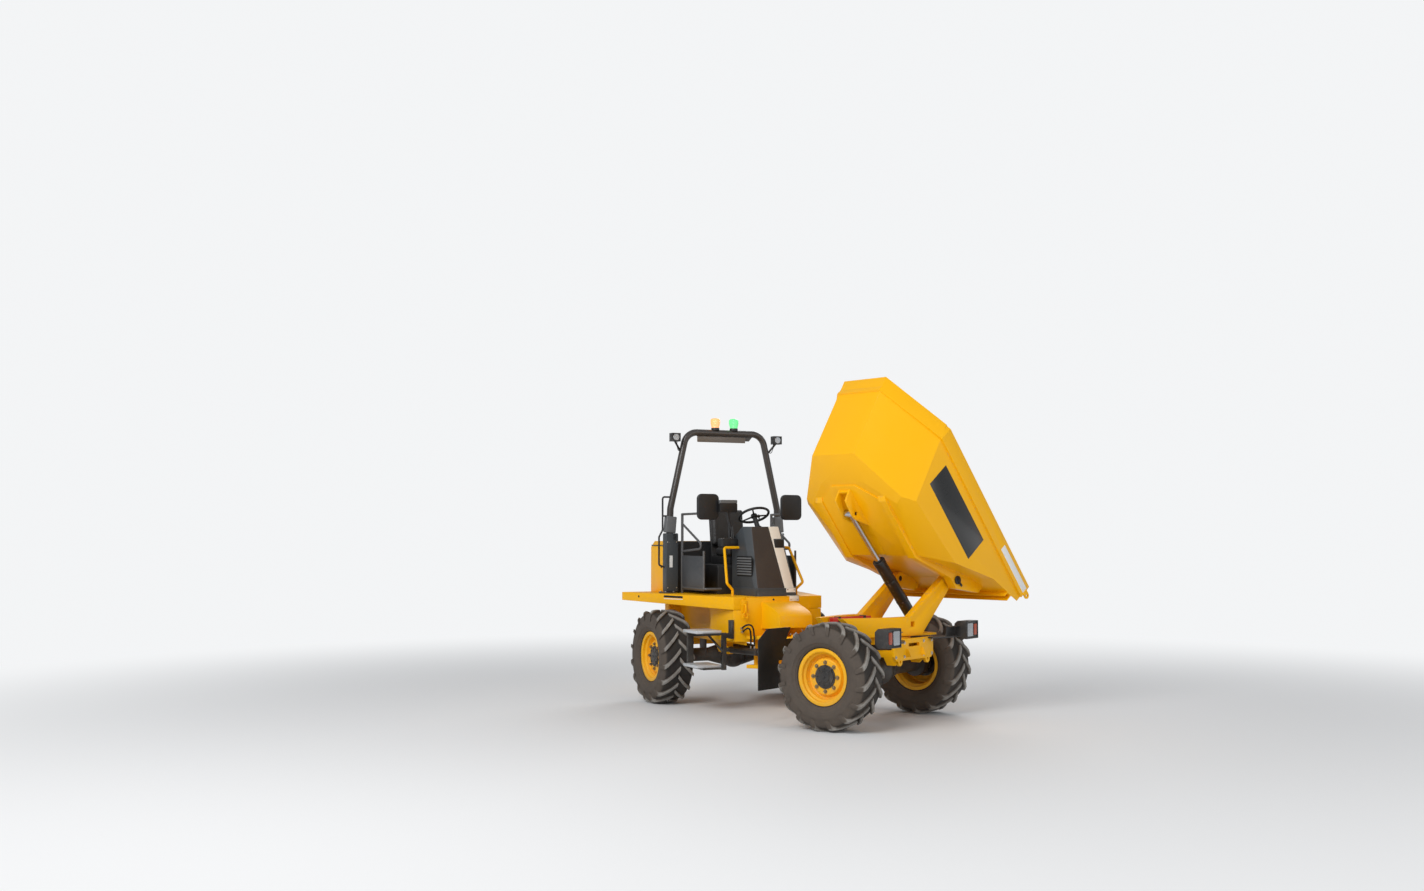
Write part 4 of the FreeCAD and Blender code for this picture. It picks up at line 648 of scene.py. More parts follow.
def tube(bm, points, radius, bend, sides=20):
    """A round tube: straight runs are extruded, each bend is spun round its own centre."""
    points = [Vector(p) for p in points]
    way = (points[1] - points[0]).to_track_quat("Z", "Y").to_matrix().to_4x4()
    ring = bmesh.ops.create_circle(bm, cap_ends=False, radius=radius, segments=sides,
                                   matrix=Matrix.Translation(points[0]) @ way)["verts"]
    first = end = list({e for v in ring for e in v.link_edges})
    where = points[0]
    for before, corner, after in zip(points, points[1:], points[2:]):
        a, b = (corner - before).normalized(), (after - corner).normalized()
        turn = a.angle(b)
        cut = bend * math.tan(turn / 2)
        end = run(bm, end, corner - a * cut - where)
        axis = a.cross(b).normalized()
        spun = bmesh.ops.spin(bm, geom=end, cent=corner - a * cut + axis.cross(a) * bend, axis=axis,
                              angle=turn, steps=max(3, round(math.degrees(turn) / 7)), use_duplicate=False)
        end = [g for g in spun["geom_last"] if isinstance(g, bmesh.types.BMEdge)]
        where = corner + b * cut
    end = run(bm, end, points[-1] - where)
    bmesh.ops.edgeloop_fill(bm, edges=first)
    bmesh.ops.edgeloop_fill(bm, edges=end)


print("bent tubes ready")

# %% [markdown]
# What a lathe makes is one profile spun once round. Bolt heads stand on washers, so a bolt is two bars.

# %% Turned parts and bolt heads
def turned(bm, points, sides=64):
    """Spins (radius, y) points round the Y axis into a closed ring or solid."""
    ring = [bm.verts.new((r, y, 0)) for r, y in points]
    edges = [bm.edges.new((a, b)) for a, b in zip(ring, ring[1:] + ring[:1])]
    bmesh.ops.spin(bm, geom=ring + edges, cent=(0, 0, 0), axis=(0, 1, 0), angle=math.tau, steps=sides,
                   use_merge=True, use_duplicate=False)
    bmesh.ops.remove_doubles(bm, verts=bm.verts, dist=0.00001)


def bolts(bm, spots, normal, radius=0.012, height=0.009):
    """Adds hexagon heads at the given spots, pointing along a normal."""
    for spot in spots:
        spot = Vector(spot)
        cylinder(bm, spot, spot + Vector(normal) * height, radius, sides=6, width=0.0012)
        cylinder(bm, spot, spot + Vector(normal) * height * 0.25, radius * 1.5, sides=20)


print("turned parts and bolts ready")

# %% [markdown]
# Three more tools save repeating: one adds a bmesh to another, one repeats it round an axis, and one
# gives a span for the right and the left side in turn.

# %% Repeating and joining
ROUND_Y, ROUND_Z = (0, 1, 0), (0, 0, 1)
BOTH = (-1, 1)


def absorb(bm, other):
    """Adds everything in another bmesh to this one and frees the other."""
    held = bpy.data.meshes.new("held")
    other.to_mesh(held)
    other.free()
    bm.from_mesh(held)
    bpy.data.meshes.remove(held)


def all_round(bm, count, axis=ROUND_Y):
    """Repeats everything in a bmesh evenly round an axis through the origin."""
    bmesh.ops.spin(bm, geom=bm.verts[:] + bm.edges[:] + bm.faces[:], cent=(0, 0, 0), axis=axis,
                   angle=math.tau * (count - 1) / count, steps=count - 1, use_duplicate=True)


def both_sides(inner, outer):
    """One span from the middle outwards, on the right and on the left: side, low end, high end."""
    for s in BOTH:
        yield s, *sorted((s * inner, s * outer))


print("tools ready")

# %% [markdown]
# ## Tyres
#
# The tyres carry most of the machine's character: broad chevron lugs that run from the middle of the
# tread over the shoulder. A lug bends back and gets lower on its way out, so it is drawn as seven cross
# sections, each turned a little further round the axle than the last.

# %% Section of a lug
LUGS = 16
TYRE_RADIUS = 0.5375
LUG_SECTIONS = [
    # y, turn in degrees, foot radius, crown radius, half width
    (-0.0060, 0.0, 0.487, 0.53750, 0.0240),
    (0.0600, 8.2, 0.487, 0.53750, 0.0238),
    (0.1200, 14.6, 0.485, 0.53600, 0.0230),
    (0.1560, 18.2, 0.478, 0.53250, 0.0222),
    (0.1780, 20.6, 0.462, 0.52200, 0.0214),
    (0.1930, 22.2, 0.440, 0.50000, 0.0204),
    (0.2010, 23.4, 0.420, 0.46200, 0.0190),
]


def lug_section(bm, y, turn, foot, crown, half):
    """Four corners of a lug at one place along it, as an edge loop."""
    corners = []
    for radius, side in ((foot, -1.15), (foot, 1.15), (crown, 1), (crown, -1)):
        a = math.radians(turn) + side * half / TYRE_RADIUS
        corners.append(bm.verts.new((radius * math.sin(a), y, radius * math.cos(a))))
    return [bm.edges.new((corners[i], corners[i - 1])) for i in range(4)]


print(len(LUG_SECTIONS), "sections along a lug")

# %% [markdown]
# The sections are bridged into one lug, its edges are rounded, and a spin that duplicates repeats it. A
# second row is the mirror image of the first, half a pitch on. The carcass is a profile turned once round
# the axle. Last, each point is marked as tread, wall or gap for the finish.

# %% Tyre
CARCASS = [(0.2545, 0.1420), (0.2880, 0.1420), (0.2930, 0.1500), (0.2985, 0.1600), (0.3080, 0.1650),
           (0.3110, 0.1710), (0.3400, 0.1850), (0.3430, 0.1890), (0.3640, 0.1925), (0.3900, 0.1950),
           (0.4180, 0.1950), (0.4220, 0.1925), (0.4550, 0.1900), (0.4780, 0.1810), (0.4930, 0.1690),
           (0.5020, 0.1500), (0.5060, 0.1050), (0.5075, 0.0400)]
LUG_TOP, WALL_FROM = 0.512, 0.155


def tyre_mesh():
    """Carcass and both rows of lugs, axle along Y."""
    bm = bmesh.new()
    loops = [lug_section(bm, *section) for section in LUG_SECTIONS]
    for near, far in zip(loops, loops[1:]):
        bmesh.ops.bridge_loops(bm, edges=near + far)
    bmesh.ops.edgeloop_fill(bm, edges=loops[0])
    bmesh.ops.edgeloop_fill(bm, edges=loops[-1])
    bmesh.ops.recalc_face_normals(bm, faces=bm.faces)
    crown = [e for e in hard_edges(bm, 25) if all(math.hypot(v.co.x, v.co.z) > 0.455 for v in e.verts)]
    bevel(bm, crown, 0.0045, 2)
    all_round(bm, LUGS)
    other = bmesh.ops.duplicate(bm, geom=bm.verts[:] + bm.edges[:] + bm.faces[:])["geom"]
    verts = [g for g in other if isinstance(g, bmesh.types.BMVert)]
    flip = Matrix.Rotation(math.pi / LUGS, 4, "Y") @ Matrix.Scale(-1, 4, (0, 1, 0))
    bmesh.ops.transform(bm, matrix=flip, verts=verts)
    turned(bm, CARCASS + [(0.5078, 0.0)] + [(r, -y) for r, y in reversed(CARCASS)], 96)
    crown_layer = bm.verts.layers.float.new("crown")
    for v in bm.verts:
        if math.hypot(v.co.x, v.co.z) > LUG_TOP:
            v[crown_layer] = 1.0
        else:
            v[crown_layer] = 0.5 if abs(v.co.y) > WALL_FROM else 0.0
    return bm


print("one tyre has", LUGS * 2, "lugs")

# %% [markdown]
# All four wheels are alike. They are drawn once at the origin and carried to the ends of the axles; on
# the left they are mirrored, so that the lugs of both sides point the same way.

# %% Four wheels
FRONT_AXLE_X, REAR_AXLE_X, HALF_TRACK = 1.065, -1.515, 0.92


def wheel_spots():
    """Name and matrix of each wheel; wheels are drawn with their outside towards -Y and mirrored."""
    for name, module, x in (("front", FRONT, FRONT_AXLE_X), ("rear", REAR, REAR_AXLE_X)):
        for side, sign in (("left", 1), ("right", -1)):
            spot = module @ Matrix.Translation((x, sign * HALF_TRACK, TYRE_RADIUS))
            yield f"{name}_{side}", spot @ Matrix.Scale(-sign, 4, (0, 1, 0))


def four(kind, build, material, smooth=35):
    """The same part on all four wheels, mirrored on the left, replacing the CAD part."""
    for name, spot in wheel_spots():
        thing = place(build(), f"{name}_{kind}_skin", (spot, f"{name}_wheel"), material, smooth)
        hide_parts(f"{name}_{kind}")


four("tyre", tyre_mesh, rubber)

# %% [markdown]
# ## Wheels
#
# A rim is rolled from flat bar and the dished disc is pressed and welded into it, so one turned section
# makes both. Eight nuts on washers hold it to the black planetary hub, whose octagonal cover is bolted
# on.

# %% Rims
RIM = [(0.2820, -0.1505), (0.2852, -0.1490), (0.2852, -0.1440), (0.2820, -0.1425), (0.2620, -0.1420),
       (0.2550, -0.1370), (0.2540, -0.1120), (0.2340, -0.0960), (0.2320, 0.0960), (0.2540, 0.1120),
       (0.2550, 0.1370), (0.2620, 0.1420), (0.2820, 0.1425), (0.2852, 0.1440), (0.2852, 0.1490),
       (0.2820, 0.1505), (0.2560, 0.1505), (0.2470, 0.1440), (0.2460, 0.1180), (0.2240, 0.1020),
       (0.2240, -0.0500), (0.2170, -0.0390), (0.2080, -0.0320), (0.1960, -0.0330), (0.1720, -0.0740),
       (0.1640, -0.0780), (0.1183, -0.0780), (0.1183, -0.0920), (0.1640, -0.0920), (0.1780, -0.0860),
       (0.2020, -0.0470), (0.2140, -0.0520), (0.2240, -0.0780), (0.2260, -0.1000), (0.2440, -0.1160),
       (0.2470, -0.1430), (0.2560, -0.1505)]


def rim_mesh():
    """Rim and disc in one section, with the weld bead between them."""
    bm = bmesh.new()
    turned(bm, RIM, 96)
    turned(bm, [(0.2235, -0.0790), (0.2150, -0.0560), (0.2200, -0.0500), (0.2240, -0.0560)], 96)
    return bm


four("rim", rim_mesh, rim_paint)


# %% [markdown]
# The wheel is held by eight nuts, each on a washer, with the end of its stud showing.

# %% Nuts and washers
WHEEL_NUTS = 8


def nut_mesh():
    """Eight nuts with washers and stud ends."""
    bm = bmesh.new()
    spot = Vector((0.143, -0.092, 0))
    cylinder(bm, spot, spot + Vector((0, -0.004, 0)), 0.0215, sides=24, width=0.001)
    cylinder(bm, spot, spot + Vector((0, -0.0195, 0)), 0.0165, sides=6, width=0.0015)
    cylinder(bm, spot, spot + Vector((0, -0.0260, 0)), 0.0085, sides=16, width=0.0012)
    all_round(bm, WHEEL_NUTS)
    return bm


for name, spot in wheel_spots():
    place(nut_mesh(), f"{name}_nuts", (spot, f"{name}_wheel"), stud)


# %% [markdown]
# The hub is a turned casting that holds the planetary gears. Its cover is octagonal, with small bolts
# and a plug in the middle.

# %% Hubs
COVER_BOLTS = 8


def hub_mesh():
    """Hub barrel with its octagonal cover, cover bolts and filler plug."""
    bm = bmesh.new()
    turned(bm, [(0.0300, 0.0200), (0.0860, 0.0200), (0.1180, 0.0100), (0.1180, -0.0990),
                (0.1150, -0.1020), (0.0300, -0.1020)], 64)
    turned(bm, [(0.1180, -0.0774), (0.1450, -0.0774), (0.1450, -0.0610), (0.1180, -0.0610)], 64)
    cylinder(bm, (0, -0.1000, 0), (0, -0.1120, 0), 0.108, sides=8, width=0.003)
    cylinder(bm, (0, -0.1100, 0), (0, -0.1180, 0), 0.062, 0.056, sides=40, width=0.002)
    around = bmesh.new()
    cylinder(around, (0.086, -0.111, 0), (0.086, -0.1195, 0), 0.0085, sides=6, width=0.001)
    all_round(around, COVER_BOLTS)
    absorb(bm, around)
    cylinder(bm, (0, -0.117, 0), (0, -0.1240, 0), 0.014, sides=6, width=0.001)
    return bm


four("hub", hub_mesh, black_paint)

# %% [markdown]
# ## Skip
#
# The skip is a folded and welded shell of thick plate with a hollow band round its rim. Press brakes
# leave a radius at every fold, so the folds are rounded; the same radius hides the flat look of the
# triangles that came with the solid.

# %% Skip shell and what carries it
rounded("skip_tub", "skip", skip_paint, 0.006, 3, 14)
rounded("skip_subframe", "skip", skip_paint, 0.004, 2)
rounded("hinge_pins", "skip", black_paint, 0.003, 2)

# %% [markdown]
# The name plates on the skip are blank here. Each is a thin plate or foil laid on the band or the wall.

# %% Blank plates
bm = bmesh.new()
block(bm, (-1.255, -0.7765, 0.020), (-0.275, -0.7745, 0.345), 0.0006)
place(bm, "side_plate", ON_SKIP, plate_black)
bm = bmesh.new()
block(bm, (-0.03, -0.8012, 0.490), (0.57, -0.7998, 0.570), 0.0004)
place(bm, "band_label", ON_SKIP, label)

# %% [markdown]
# Welds show wherever two plates meet. A weld bead is a thin bar with a ripple from each pass of the
# torch; here each is a round bar laid in the corner between rib and shell, and one runs all along the
# lower edge of the band.

# %% Welds, seam and keeper plates on the skip
RIB_LINE = [(-1.34, -0.352), (-0.62, -0.350), (0.150, 0.213), (0.330, 0.280)]
BEAD = 0.0055
bm = bmesh.new()
for s in BOTH:
    for y in (0.400, 0.500):
        (x0, z0), (x1, z1), (x2, z2), (x3, z3) = RIB_LINE
        cylinder(bm, (x0, s * y, z0), (x1, s * y, z0), BEAD, sides=8)
        cylinder(bm, (x1, s * y, z1), (x2, s * y, z2), BEAD, sides=8)
        cylinder(bm, (x2, s * y, z2), (x3, s * y, z3), BEAD, sides=8)
    cylinder(bm, (-1.47, s * 0.776, 0.444), (0.45, s * 0.776, 0.444), 0.005, sides=8)
place(bm, "skip_welds", ON_SKIP, skip_paint)
bm = bmesh.new()
for s, near, far in both_sides(0.5148, 0.5215):
    block(bm, (-0.020, near, -0.012), (0.085, far, 0.012), 0.001)
    bolts(bm, [(0.066, s * 0.5215, 0)], (0, s, 0), 0.009, 0.007)
place(bm, "hinge_keepers", ON_SKIP, black_paint)

# %% [markdown]
# ## Turntable and tipping gear
#
# The swivel frame turns on a slewing ring that is bolted down all round. One bolt is drawn, and a spin
# that duplicates repeats it, the way a drill jig repeats a hole.

# %% Swivel frame and slewing ring
rounded("swivel_frame", "swivel", paint, 0.003, 2)
rounded("slew_ring", "front_chassis", black_paint, 0.002, 2)
RING_BOLTS = 28
bm = bmesh.new()
cylinder(bm, (0.318, 0, 0.787), (0.318, 0, 0.799), 0.0100, sides=6, width=0.001)
all_round(bm, RING_BOLTS, ROUND_Z)
place(bm, "slew_bolts", (FRONT @ Matrix.Translation((SLEW_X, 0, 0)), "front_chassis"), bright)

# %% [markdown]
# The red prop holds the raised skip during service. Between times it is stowed along one arm in two
# clips of black sheet, each bent round it on three sides and held by one bolt.

# %% Prop and its clips
rounded("safety_prop", "swivel", red_paint, 0.002, 2)
bm = bmesh.new()
for x in (-0.420, -0.040):
    block(bm, (x - 0.018, 0.094, 1.029), (x + 0.018, 0.0975, 1.096), 0.001)
    block(bm, (x - 0.018, 0.1535, 1.029), (x + 0.018, 0.157, 1.096), 0.001)
    block(bm, (x - 0.018, 0.094, 1.0905), (x + 0.018, 0.157, 1.096), 0.001)
    bolts(bm, [(x, 0.094, 1.062)], (0, -1, 0), 0.007, 0.006)
place(bm, "prop_clips", ON_SWIVEL, black_plastic)

# %% [markdown]
# The tipping cylinder has a black barrel and a chromed rod. A steel pipe carries the oil along the
# barrel to its far port, two bands hold the pipe, and a rubber wiper keeps grit off the gland.

# %% Tipping cylinder
rounded("tip_barrel", "tip_barrel", black_paint, 0.003, 2)
rounded("tip_rod", "tip_rod", chrome, 0.002, 2)
FOOT = Vector((0.640, 0, 1.018))
EYE_ARM, EYE_DROP = 1.240, 0.445
eye = Vector((HINGE_X - EYE_ARM * math.cos(TIP) - EYE_DROP * math.sin(TIP), 0,
              HINGE_Z + EYE_ARM * math.sin(TIP) - EYE_DROP * math.cos(TIP)))
along = (eye - FOOT).normalized()
to_barrel = along.to_track_quat("Y", "Z").to_matrix().to_4x4()
FLANK = Vector((0, 1, 0))
NEAR_PORT, FAR_PORT = 0.115, 0.780
BANDS = (0.30, 0.58)
BAND_PROFILE = [(0.0641, -0.012), (0.0668, -0.012), (0.0668, 0.012), (0.0641, 0.012)]
CLIP = Vector((0.011, 0.012, 0.011))
bm = bmesh.new()
pipe = [FOOT + along * d + FLANK * off for d, off in ((NEAR_PORT, 0.060), (NEAR_PORT, 0.090),
                                                      (FAR_PORT, 0.090), (FAR_PORT, 0.062))]
tube(bm, pipe, 0.0075, 0.02, 12)
for d in (NEAR_PORT, FAR_PORT):
    port = FOOT + along * d
    cylinder(bm, port + FLANK * 0.058, port + FLANK * 0.080, 0.014, sides=6, width=0.001)
for d in BANDS:
    band = bmesh.new()
    turned(band, BAND_PROFILE, 48)
    bmesh.ops.transform(band, matrix=Matrix.Translation(FOOT + along * d) @ to_barrel, verts=band.verts)
    absorb(bm, band)
    middle = FOOT + along * d + FLANK * 0.080
    block(bm, middle - CLIP, middle + CLIP, 0.003)
place(bm, "tip_pipe", (SWIVEL, "tip_barrel"), black_paint)
bm = bmesh.new()
cylinder(bm, FOOT + along * 0.8625, FOOT + along * 0.8740, 0.050, sides=40, width=0.002)
place(bm, "tip_wiper", (SWIVEL, "tip_barrel"), flap)

# %% [markdown]
# ## Front module
#
# The front chassis is a pair of rails with a thick plate at the nose, and rubber flaps keep mud off the
# joint. Washers under every bolt head show as a brighter ring, so each bolt is drawn with its washer.

# %% Front chassis, axle and flaps
rounded("front_frame", "front_chassis", paint, 0.003, 2)
rounded("front_axle", "front_chassis", black_paint, 0.003, 2)
rounded("mudguards", "front_chassis", flap, 0.004, 2)
bm = bmesh.new()
for s in BOTH:
    for y, z in ((0.30, 0.79), (0.30, 0.93), (0.52, 0.79), (0.52, 0.90)):
        bolts(bm, [(0.312, s * y, z)], (1, 0, 0), 0.008, 0.006)
    for y in (0.20, 0.37):
        for z in (0.705, 0.845):
            bolts(bm, [(1.500, s * y, z)], (1, 0, 0), 0.012, 0.010)
place(bm, "front_bolts", ON_FRONT, bright)

# %% [markdown]
# Each headlamp is a deep moulded box with two upright lenses in one recess: a wide clear one for the
# beam and a narrow orange one for the indicator. A lens is a slab with round corners and a soft rim.

# %% Headlamps
def slab(bm, low, high, axis, corner, width):
    """A box with large round corners seen along one axis and a small rim round its faces."""
    made = block(bm, low, high)
    along = [e for e in {e for v in made for e in v.link_edges}
             if abs((e.verts[0].co - e.verts[1].co).normalized()[axis]) > 0.9]
    before = set(bm.verts) - set(made)
    bevel(bm, along, corner, 5)
    made = [v for v in bm.verts if v not in before]
    if width:
        rims = [e for e in {e for v in made for e in v.link_edges}
                if e.is_manifold and e.calc_face_angle(0.0) > math.radians(60)]
        bevel(bm, rims, width, 2)


rounded("headlamps", "front_chassis", black_paint, 0.008, 3)
bm = bmesh.new()
for s, near, far in both_sides(0.712, 0.838):
    slab(bm, (1.7385, near, 0.866), (1.7480, far, 1.006), 0, 0.016, 0.003)
place(bm, "headlamp_glass", ON_FRONT, lamp_glass)
bm = bmesh.new()
for s, near, far in both_sides(0.858, 0.926):
    slab(bm, (1.7385, near, 0.878), (1.7470, far, 0.996), 0, 0.014, 0.003)
place(bm, "indicator_glass", ON_FRONT, orange_lens)

# %% [markdown]
# ## Rear module
#
# The rear chassis carries the engine, the deck and the operator. Its steel is laser cut and folded, so
# its edges get a small radius; the deck and the moulded bonnet are softer.

# %% Rear chassis, deck and steering cylinder
for name, width, segments in (("rear_frame", 0.003, 2), ("bulkhead", 0.003, 2), ("side_tanks", 0.006, 3),
                              ("articulation_yoke", 0.003, 2), ("tow_jaw", 0.002, 2), ("deck", 0.005, 3)):
    rounded(name, "rear_chassis", paint, width, segments)
rounded("bonnet", "rear_chassis", paint, 0.010, 3, 20)
rounded("rear_axle", "rear_chassis", black_paint, 0.003, 2)
rounded("engine_block", "rear_chassis", black_paint, 0.01, 2)
rounded("steer_barrel", "steer_barrel", black_paint, 0.002, 2)
rounded("steer_rod", "steer_rod", chrome, 0.002, 2)

# %% [markdown]
# The front wall of the rear module is punched: an upright slot, a long slot and a round hole. Each is
# filled by a black patch that stands two millimetres proud; its rim is the rubber edging and its middle is
# painted shade.

# %% Edgings and painted shade of the openings
WALL = -0.3718
PROUD = 0.0022
bm = bmesh.new()
# Each black patch fills its opening: rubber edging at the rim, painted shade in the middle.
slab(bm, (WALL - 0.001, -0.168, 1.090), (WALL + PROUD, -0.150, 1.178), 0, 0.008, 0)
slab(bm, (WALL - 0.001, -0.020, 1.178), (WALL + PROUD, 0.052, 1.196), 0, 0.008, 0)
cylinder(bm, (WALL - 0.001, -0.057, 1.222), (WALL + PROUD, -0.057, 1.222), 0.011, sides=32)
place(bm, "wall_edgings_and_shade", ON_REAR, flap)

# %% [markdown]
# The hook is a bent bar on a plate, and its ring is a small circle spun once round.

# %% Hook and ports on the front wall
def ring(bm, centre, turn, radius, wire, steps=48):
    """A closed round ring: a small circle spun once round an upright axis, then turned."""
    upright = Matrix.Translation((radius, 0, 0)) @ Matrix.Rotation(math.pi / 2, 4, "X")
    circle = bmesh.ops.create_circle(bm, cap_ends=False, radius=wire, segments=16,
                                     matrix=upright)["verts"]
    before = set(bm.verts) - set(circle)
    edges = list({e for v in circle for e in v.link_edges})
    bmesh.ops.spin(bm, geom=edges, cent=(0, 0, 0), axis=ROUND_Z, angle=math.tau, steps=steps,
                   use_merge=True, use_duplicate=False)
    made = [v for v in bm.verts if v not in before]
    bmesh.ops.transform(bm, matrix=Matrix.Translation(centre) @ turn, verts=made)


HOOK_Y = -0.428
PORTS = [(-0.466, 0.913), (-0.458, 0.872)]
bm = bmesh.new()
slab(bm, (WALL, HOOK_Y - 0.034, 1.084), (WALL + 0.012, HOOK_Y + 0.034, 1.224), 0, 0.018, 0.002)
tube(bm, [(WALL + 0.010, HOOK_Y, 1.175), (WALL + 0.048, HOOK_Y, 1.165), (WALL + 0.048, HOOK_Y, 1.095),
          (WALL + 0.010, HOOK_Y, 1.085)], 0.009, 0.020, 16)
ring(bm, (WALL + 0.034, HOOK_Y, 1.052), Matrix.Rotation(math.pi / 2, 4, "Y"), 0.030, 0.0075)
place(bm, "lifting_hook", ON_REAR, paint)
bm = bmesh.new()
for y, z in PORTS:
    cylinder(bm, (WALL, y, z), (WALL + 0.018, y, z), 0.016, sides=6, width=0.0015)
    cylinder(bm, (WALL + 0.018, y, z), (WALL + 0.036, y, z), 0.0125, sides=24, width=0.001)
place(bm, "wall_ports", ON_REAR, bright)

# %% [markdown]
# Two rubber hoses leave these ports, arch outwards and drop to the steering cylinder. A hose is a smooth
# line, so each is a NURBS curve with a round section. The curve cuts its corners, so it is a twentieth
# shorter than the way through its points. A six-sided nipple takes each lower end.

# %% Steering hoses
HOSES = {
    # points of each route, measured out from the wall, across and up
    "hose_upper": [(0.020, -0.466, 0.913), (0.085, -0.462, 0.945), (0.125, -0.430, 0.962),
                   (0.130, -0.385, 0.940), (0.108, -0.356, 0.850), (0.102, -0.3505, 0.7185)],
    "hose_lower": [(0.020, -0.458, 0.872), (0.075, -0.452, 0.905), (0.095, -0.420, 0.922),
                   (0.080, -0.388, 0.890), (0.050, -0.368, 0.820), (0.042, -0.3655, 0.7185)],
}
HOSE_RADIUS = 0.0095
CUT_CORNERS = 0.95
nipples = bmesh.new()
for name, route in HOSES.items():
    points = [Vector((WALL + out, across, up)) for out, across, up in route]
    curve = bpy.data.curves.new(name, "CURVE")
    curve.dimensions = "3D"
    curve.bevel_depth = HOSE_RADIUS
    curve.bevel_resolution = 6
    curve.resolution_u = 24
    curve.use_fill_caps = True
    line = curve.splines.new("NURBS")
    line.points.add(len(points) - 1)
    for spot, point in zip(points, line.points):
        point.co = (*(REAR @ spot), 1.0)
    line.order_u = 3
    line.use_endpoint_u = True
    curve.materials.append(flap)
    hose = bpy.data.objects.new(name, curve)
    scene.collection.objects.link(hose)
    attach(hose, "rear_chassis")
    long = sum((a - b).length for a, b in zip(points, points[1:])) * CUT_CORNERS
    end = points[-1]
    cylinder(nipples, (end.x, end.y, 0.684), (end.x, end.y, 0.7155), 0.0105, sides=6, width=0.001)
    print(name, round(long, 3), "m long")
place(nipples, "steer_nipples", (REAR, "steer_barrel"), bright)

# %% [markdown]
# The sides of the deck show a long slot with a pale stripe under it and a small tie-down hole near the
# back. The slot and the hole are flat black marks on the side: painted shade for the openings. The mirror
# side gets the same, as both are cut by one program.

# %% Marks on the deck's sides
DECK_REAR_X, DECK_REAR_HALF, DECK_NARROWS, DECK_RUN = -2.280, 1.120, 0.560, 1.910


def skirt_spot(x, z, s):
    """A place on the tapered side of the deck, turned to lie in it."""
    y = s * (DECK_REAR_HALF - DECK_NARROWS * (x - DECK_REAR_X) / DECK_RUN)
    lean = math.atan2(-s * DECK_NARROWS, DECK_RUN)
    return Matrix.Translation((x, y, z)) @ Matrix.Rotation(lean, 4, "Z")


bm = bmesh.new()
bm_pale = bmesh.new()
MARKS = [
    # x, z, length, height, corner, where it goes
    (-1.36, 1.228, 0.34, 0.024, 0.011, bm),
    (-1.36, 1.203, 0.34, 0.008, 0.003, bm_pale),
    (-1.97, 1.212, 0.026, 0.026, 0.012, bm),
]
for s in BOTH:
    for x, z, long, high, corner, target in MARKS:
        mark = bmesh.new()
        slab(mark, (-long / 2, -0.0015, -high / 2), (long / 2, 0.0015, high / 2), 1, corner, 0)
        bmesh.ops.transform(mark, matrix=skirt_spot(x, z, s), verts=mark.verts)
        absorb(target, mark)
# The black marks are painted shade in the slot and the tie-down hole.
place(bm, "deck_slot_shade", ON_REAR, flap)
place(bm_pale, "deck_stripes", ON_REAR, label)

# %% [markdown]
# ## Roll-over hoop and lamps
#
# The hoop is one long tube bent in four places. It is drawn as such: straight runs are extruded and each
# bend is spun round its own centre, as on the pipe bender.

# %% Hoop
HOOP_X, POST_Y = -1.74, 0.760
HOOP_LINE = [(POST_Y, 1.263), (0.720, 2.260), (0.510, 3.180)]
bm = bmesh.new()
left = [(HOOP_X, y, z) for y, z in HOOP_LINE]
right = [(HOOP_X, -y, z) for y, z in reversed(HOOP_LINE)]
tube(bm, left + right, 0.040, 0.170, 40)
HEAD_PLATE = [(-0.330, 3.090), (0.330, 3.090), (0.400, 3.170), (-0.400, 3.170)]
plate(bm, [(HOOP_X - 0.006, y, z) for y, z in HEAD_PLATE], (0.012, 0, 0), 0.002)
for s in BOTH:
    block(bm, (-1.825, s * POST_Y - 0.075, 1.255), (-1.655, s * POST_Y + 0.075, 1.271), 0.003)
hoop = place(bm, "rops_hoop_skin", ON_REAR, charcoal)
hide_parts("rops_hoop")
bm = bmesh.new()
for s in BOTH:
    corners = [(HOOP_X + a, s * POST_Y + b, 1.271) for a in (-0.069, 0.069) for b in (-0.052, 0.052)]
    bolts(bm, corners, (0, 0, 1), 0.010, 0.009)
place(bm, "hoop_bolts", ON_REAR, bright)
bm = bmesh.new()
slab(bm, (-1.7350, -0.371, 3.066), (-1.7325, 0.278, 3.134), 0, 0.008, 0.0006)
place(bm, "sign_plate", ON_REAR, brown_plate)

# %% [markdown]
# The lower half of each post is boxed in by a tall moulded cover, closed by a lighter cap that leans
# with the tube.

# %% Post covers and caps
COVER_FRONT = -1.690
CAP_SPOT = (0.724, 2.068)
CAP_HALF = Vector((0.047, 0.064, 0.098))
bm = bmesh.new()
for s, near, far in both_sides(0.635, 0.800):
    block(bm, (-1.790, near, 1.2715), (COVER_FRONT, far, 1.965), 0.014, 4)
covers = place(bm, "post_covers_skin", ON_REAR, panel_grey)
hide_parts("post_covers")
bm = bmesh.new()
for s in BOTH:
    y, z = CAP_SPOT
    lean = Matrix.Translation((HOOP_X, s * y, z)) @ Matrix.Rotation(math.radians(s * 5), 4, "X")
    made = block(bm, -CAP_HALF, CAP_HALF, 0.012, 4)
    bmesh.ops.transform(bm, matrix=lean, verts=made)
place(bm, "post_caps", ON_REAR, cap_grey)

# %% [markdown]
# A clasp and four screws hold each cover, and a blank strip marks the right one.

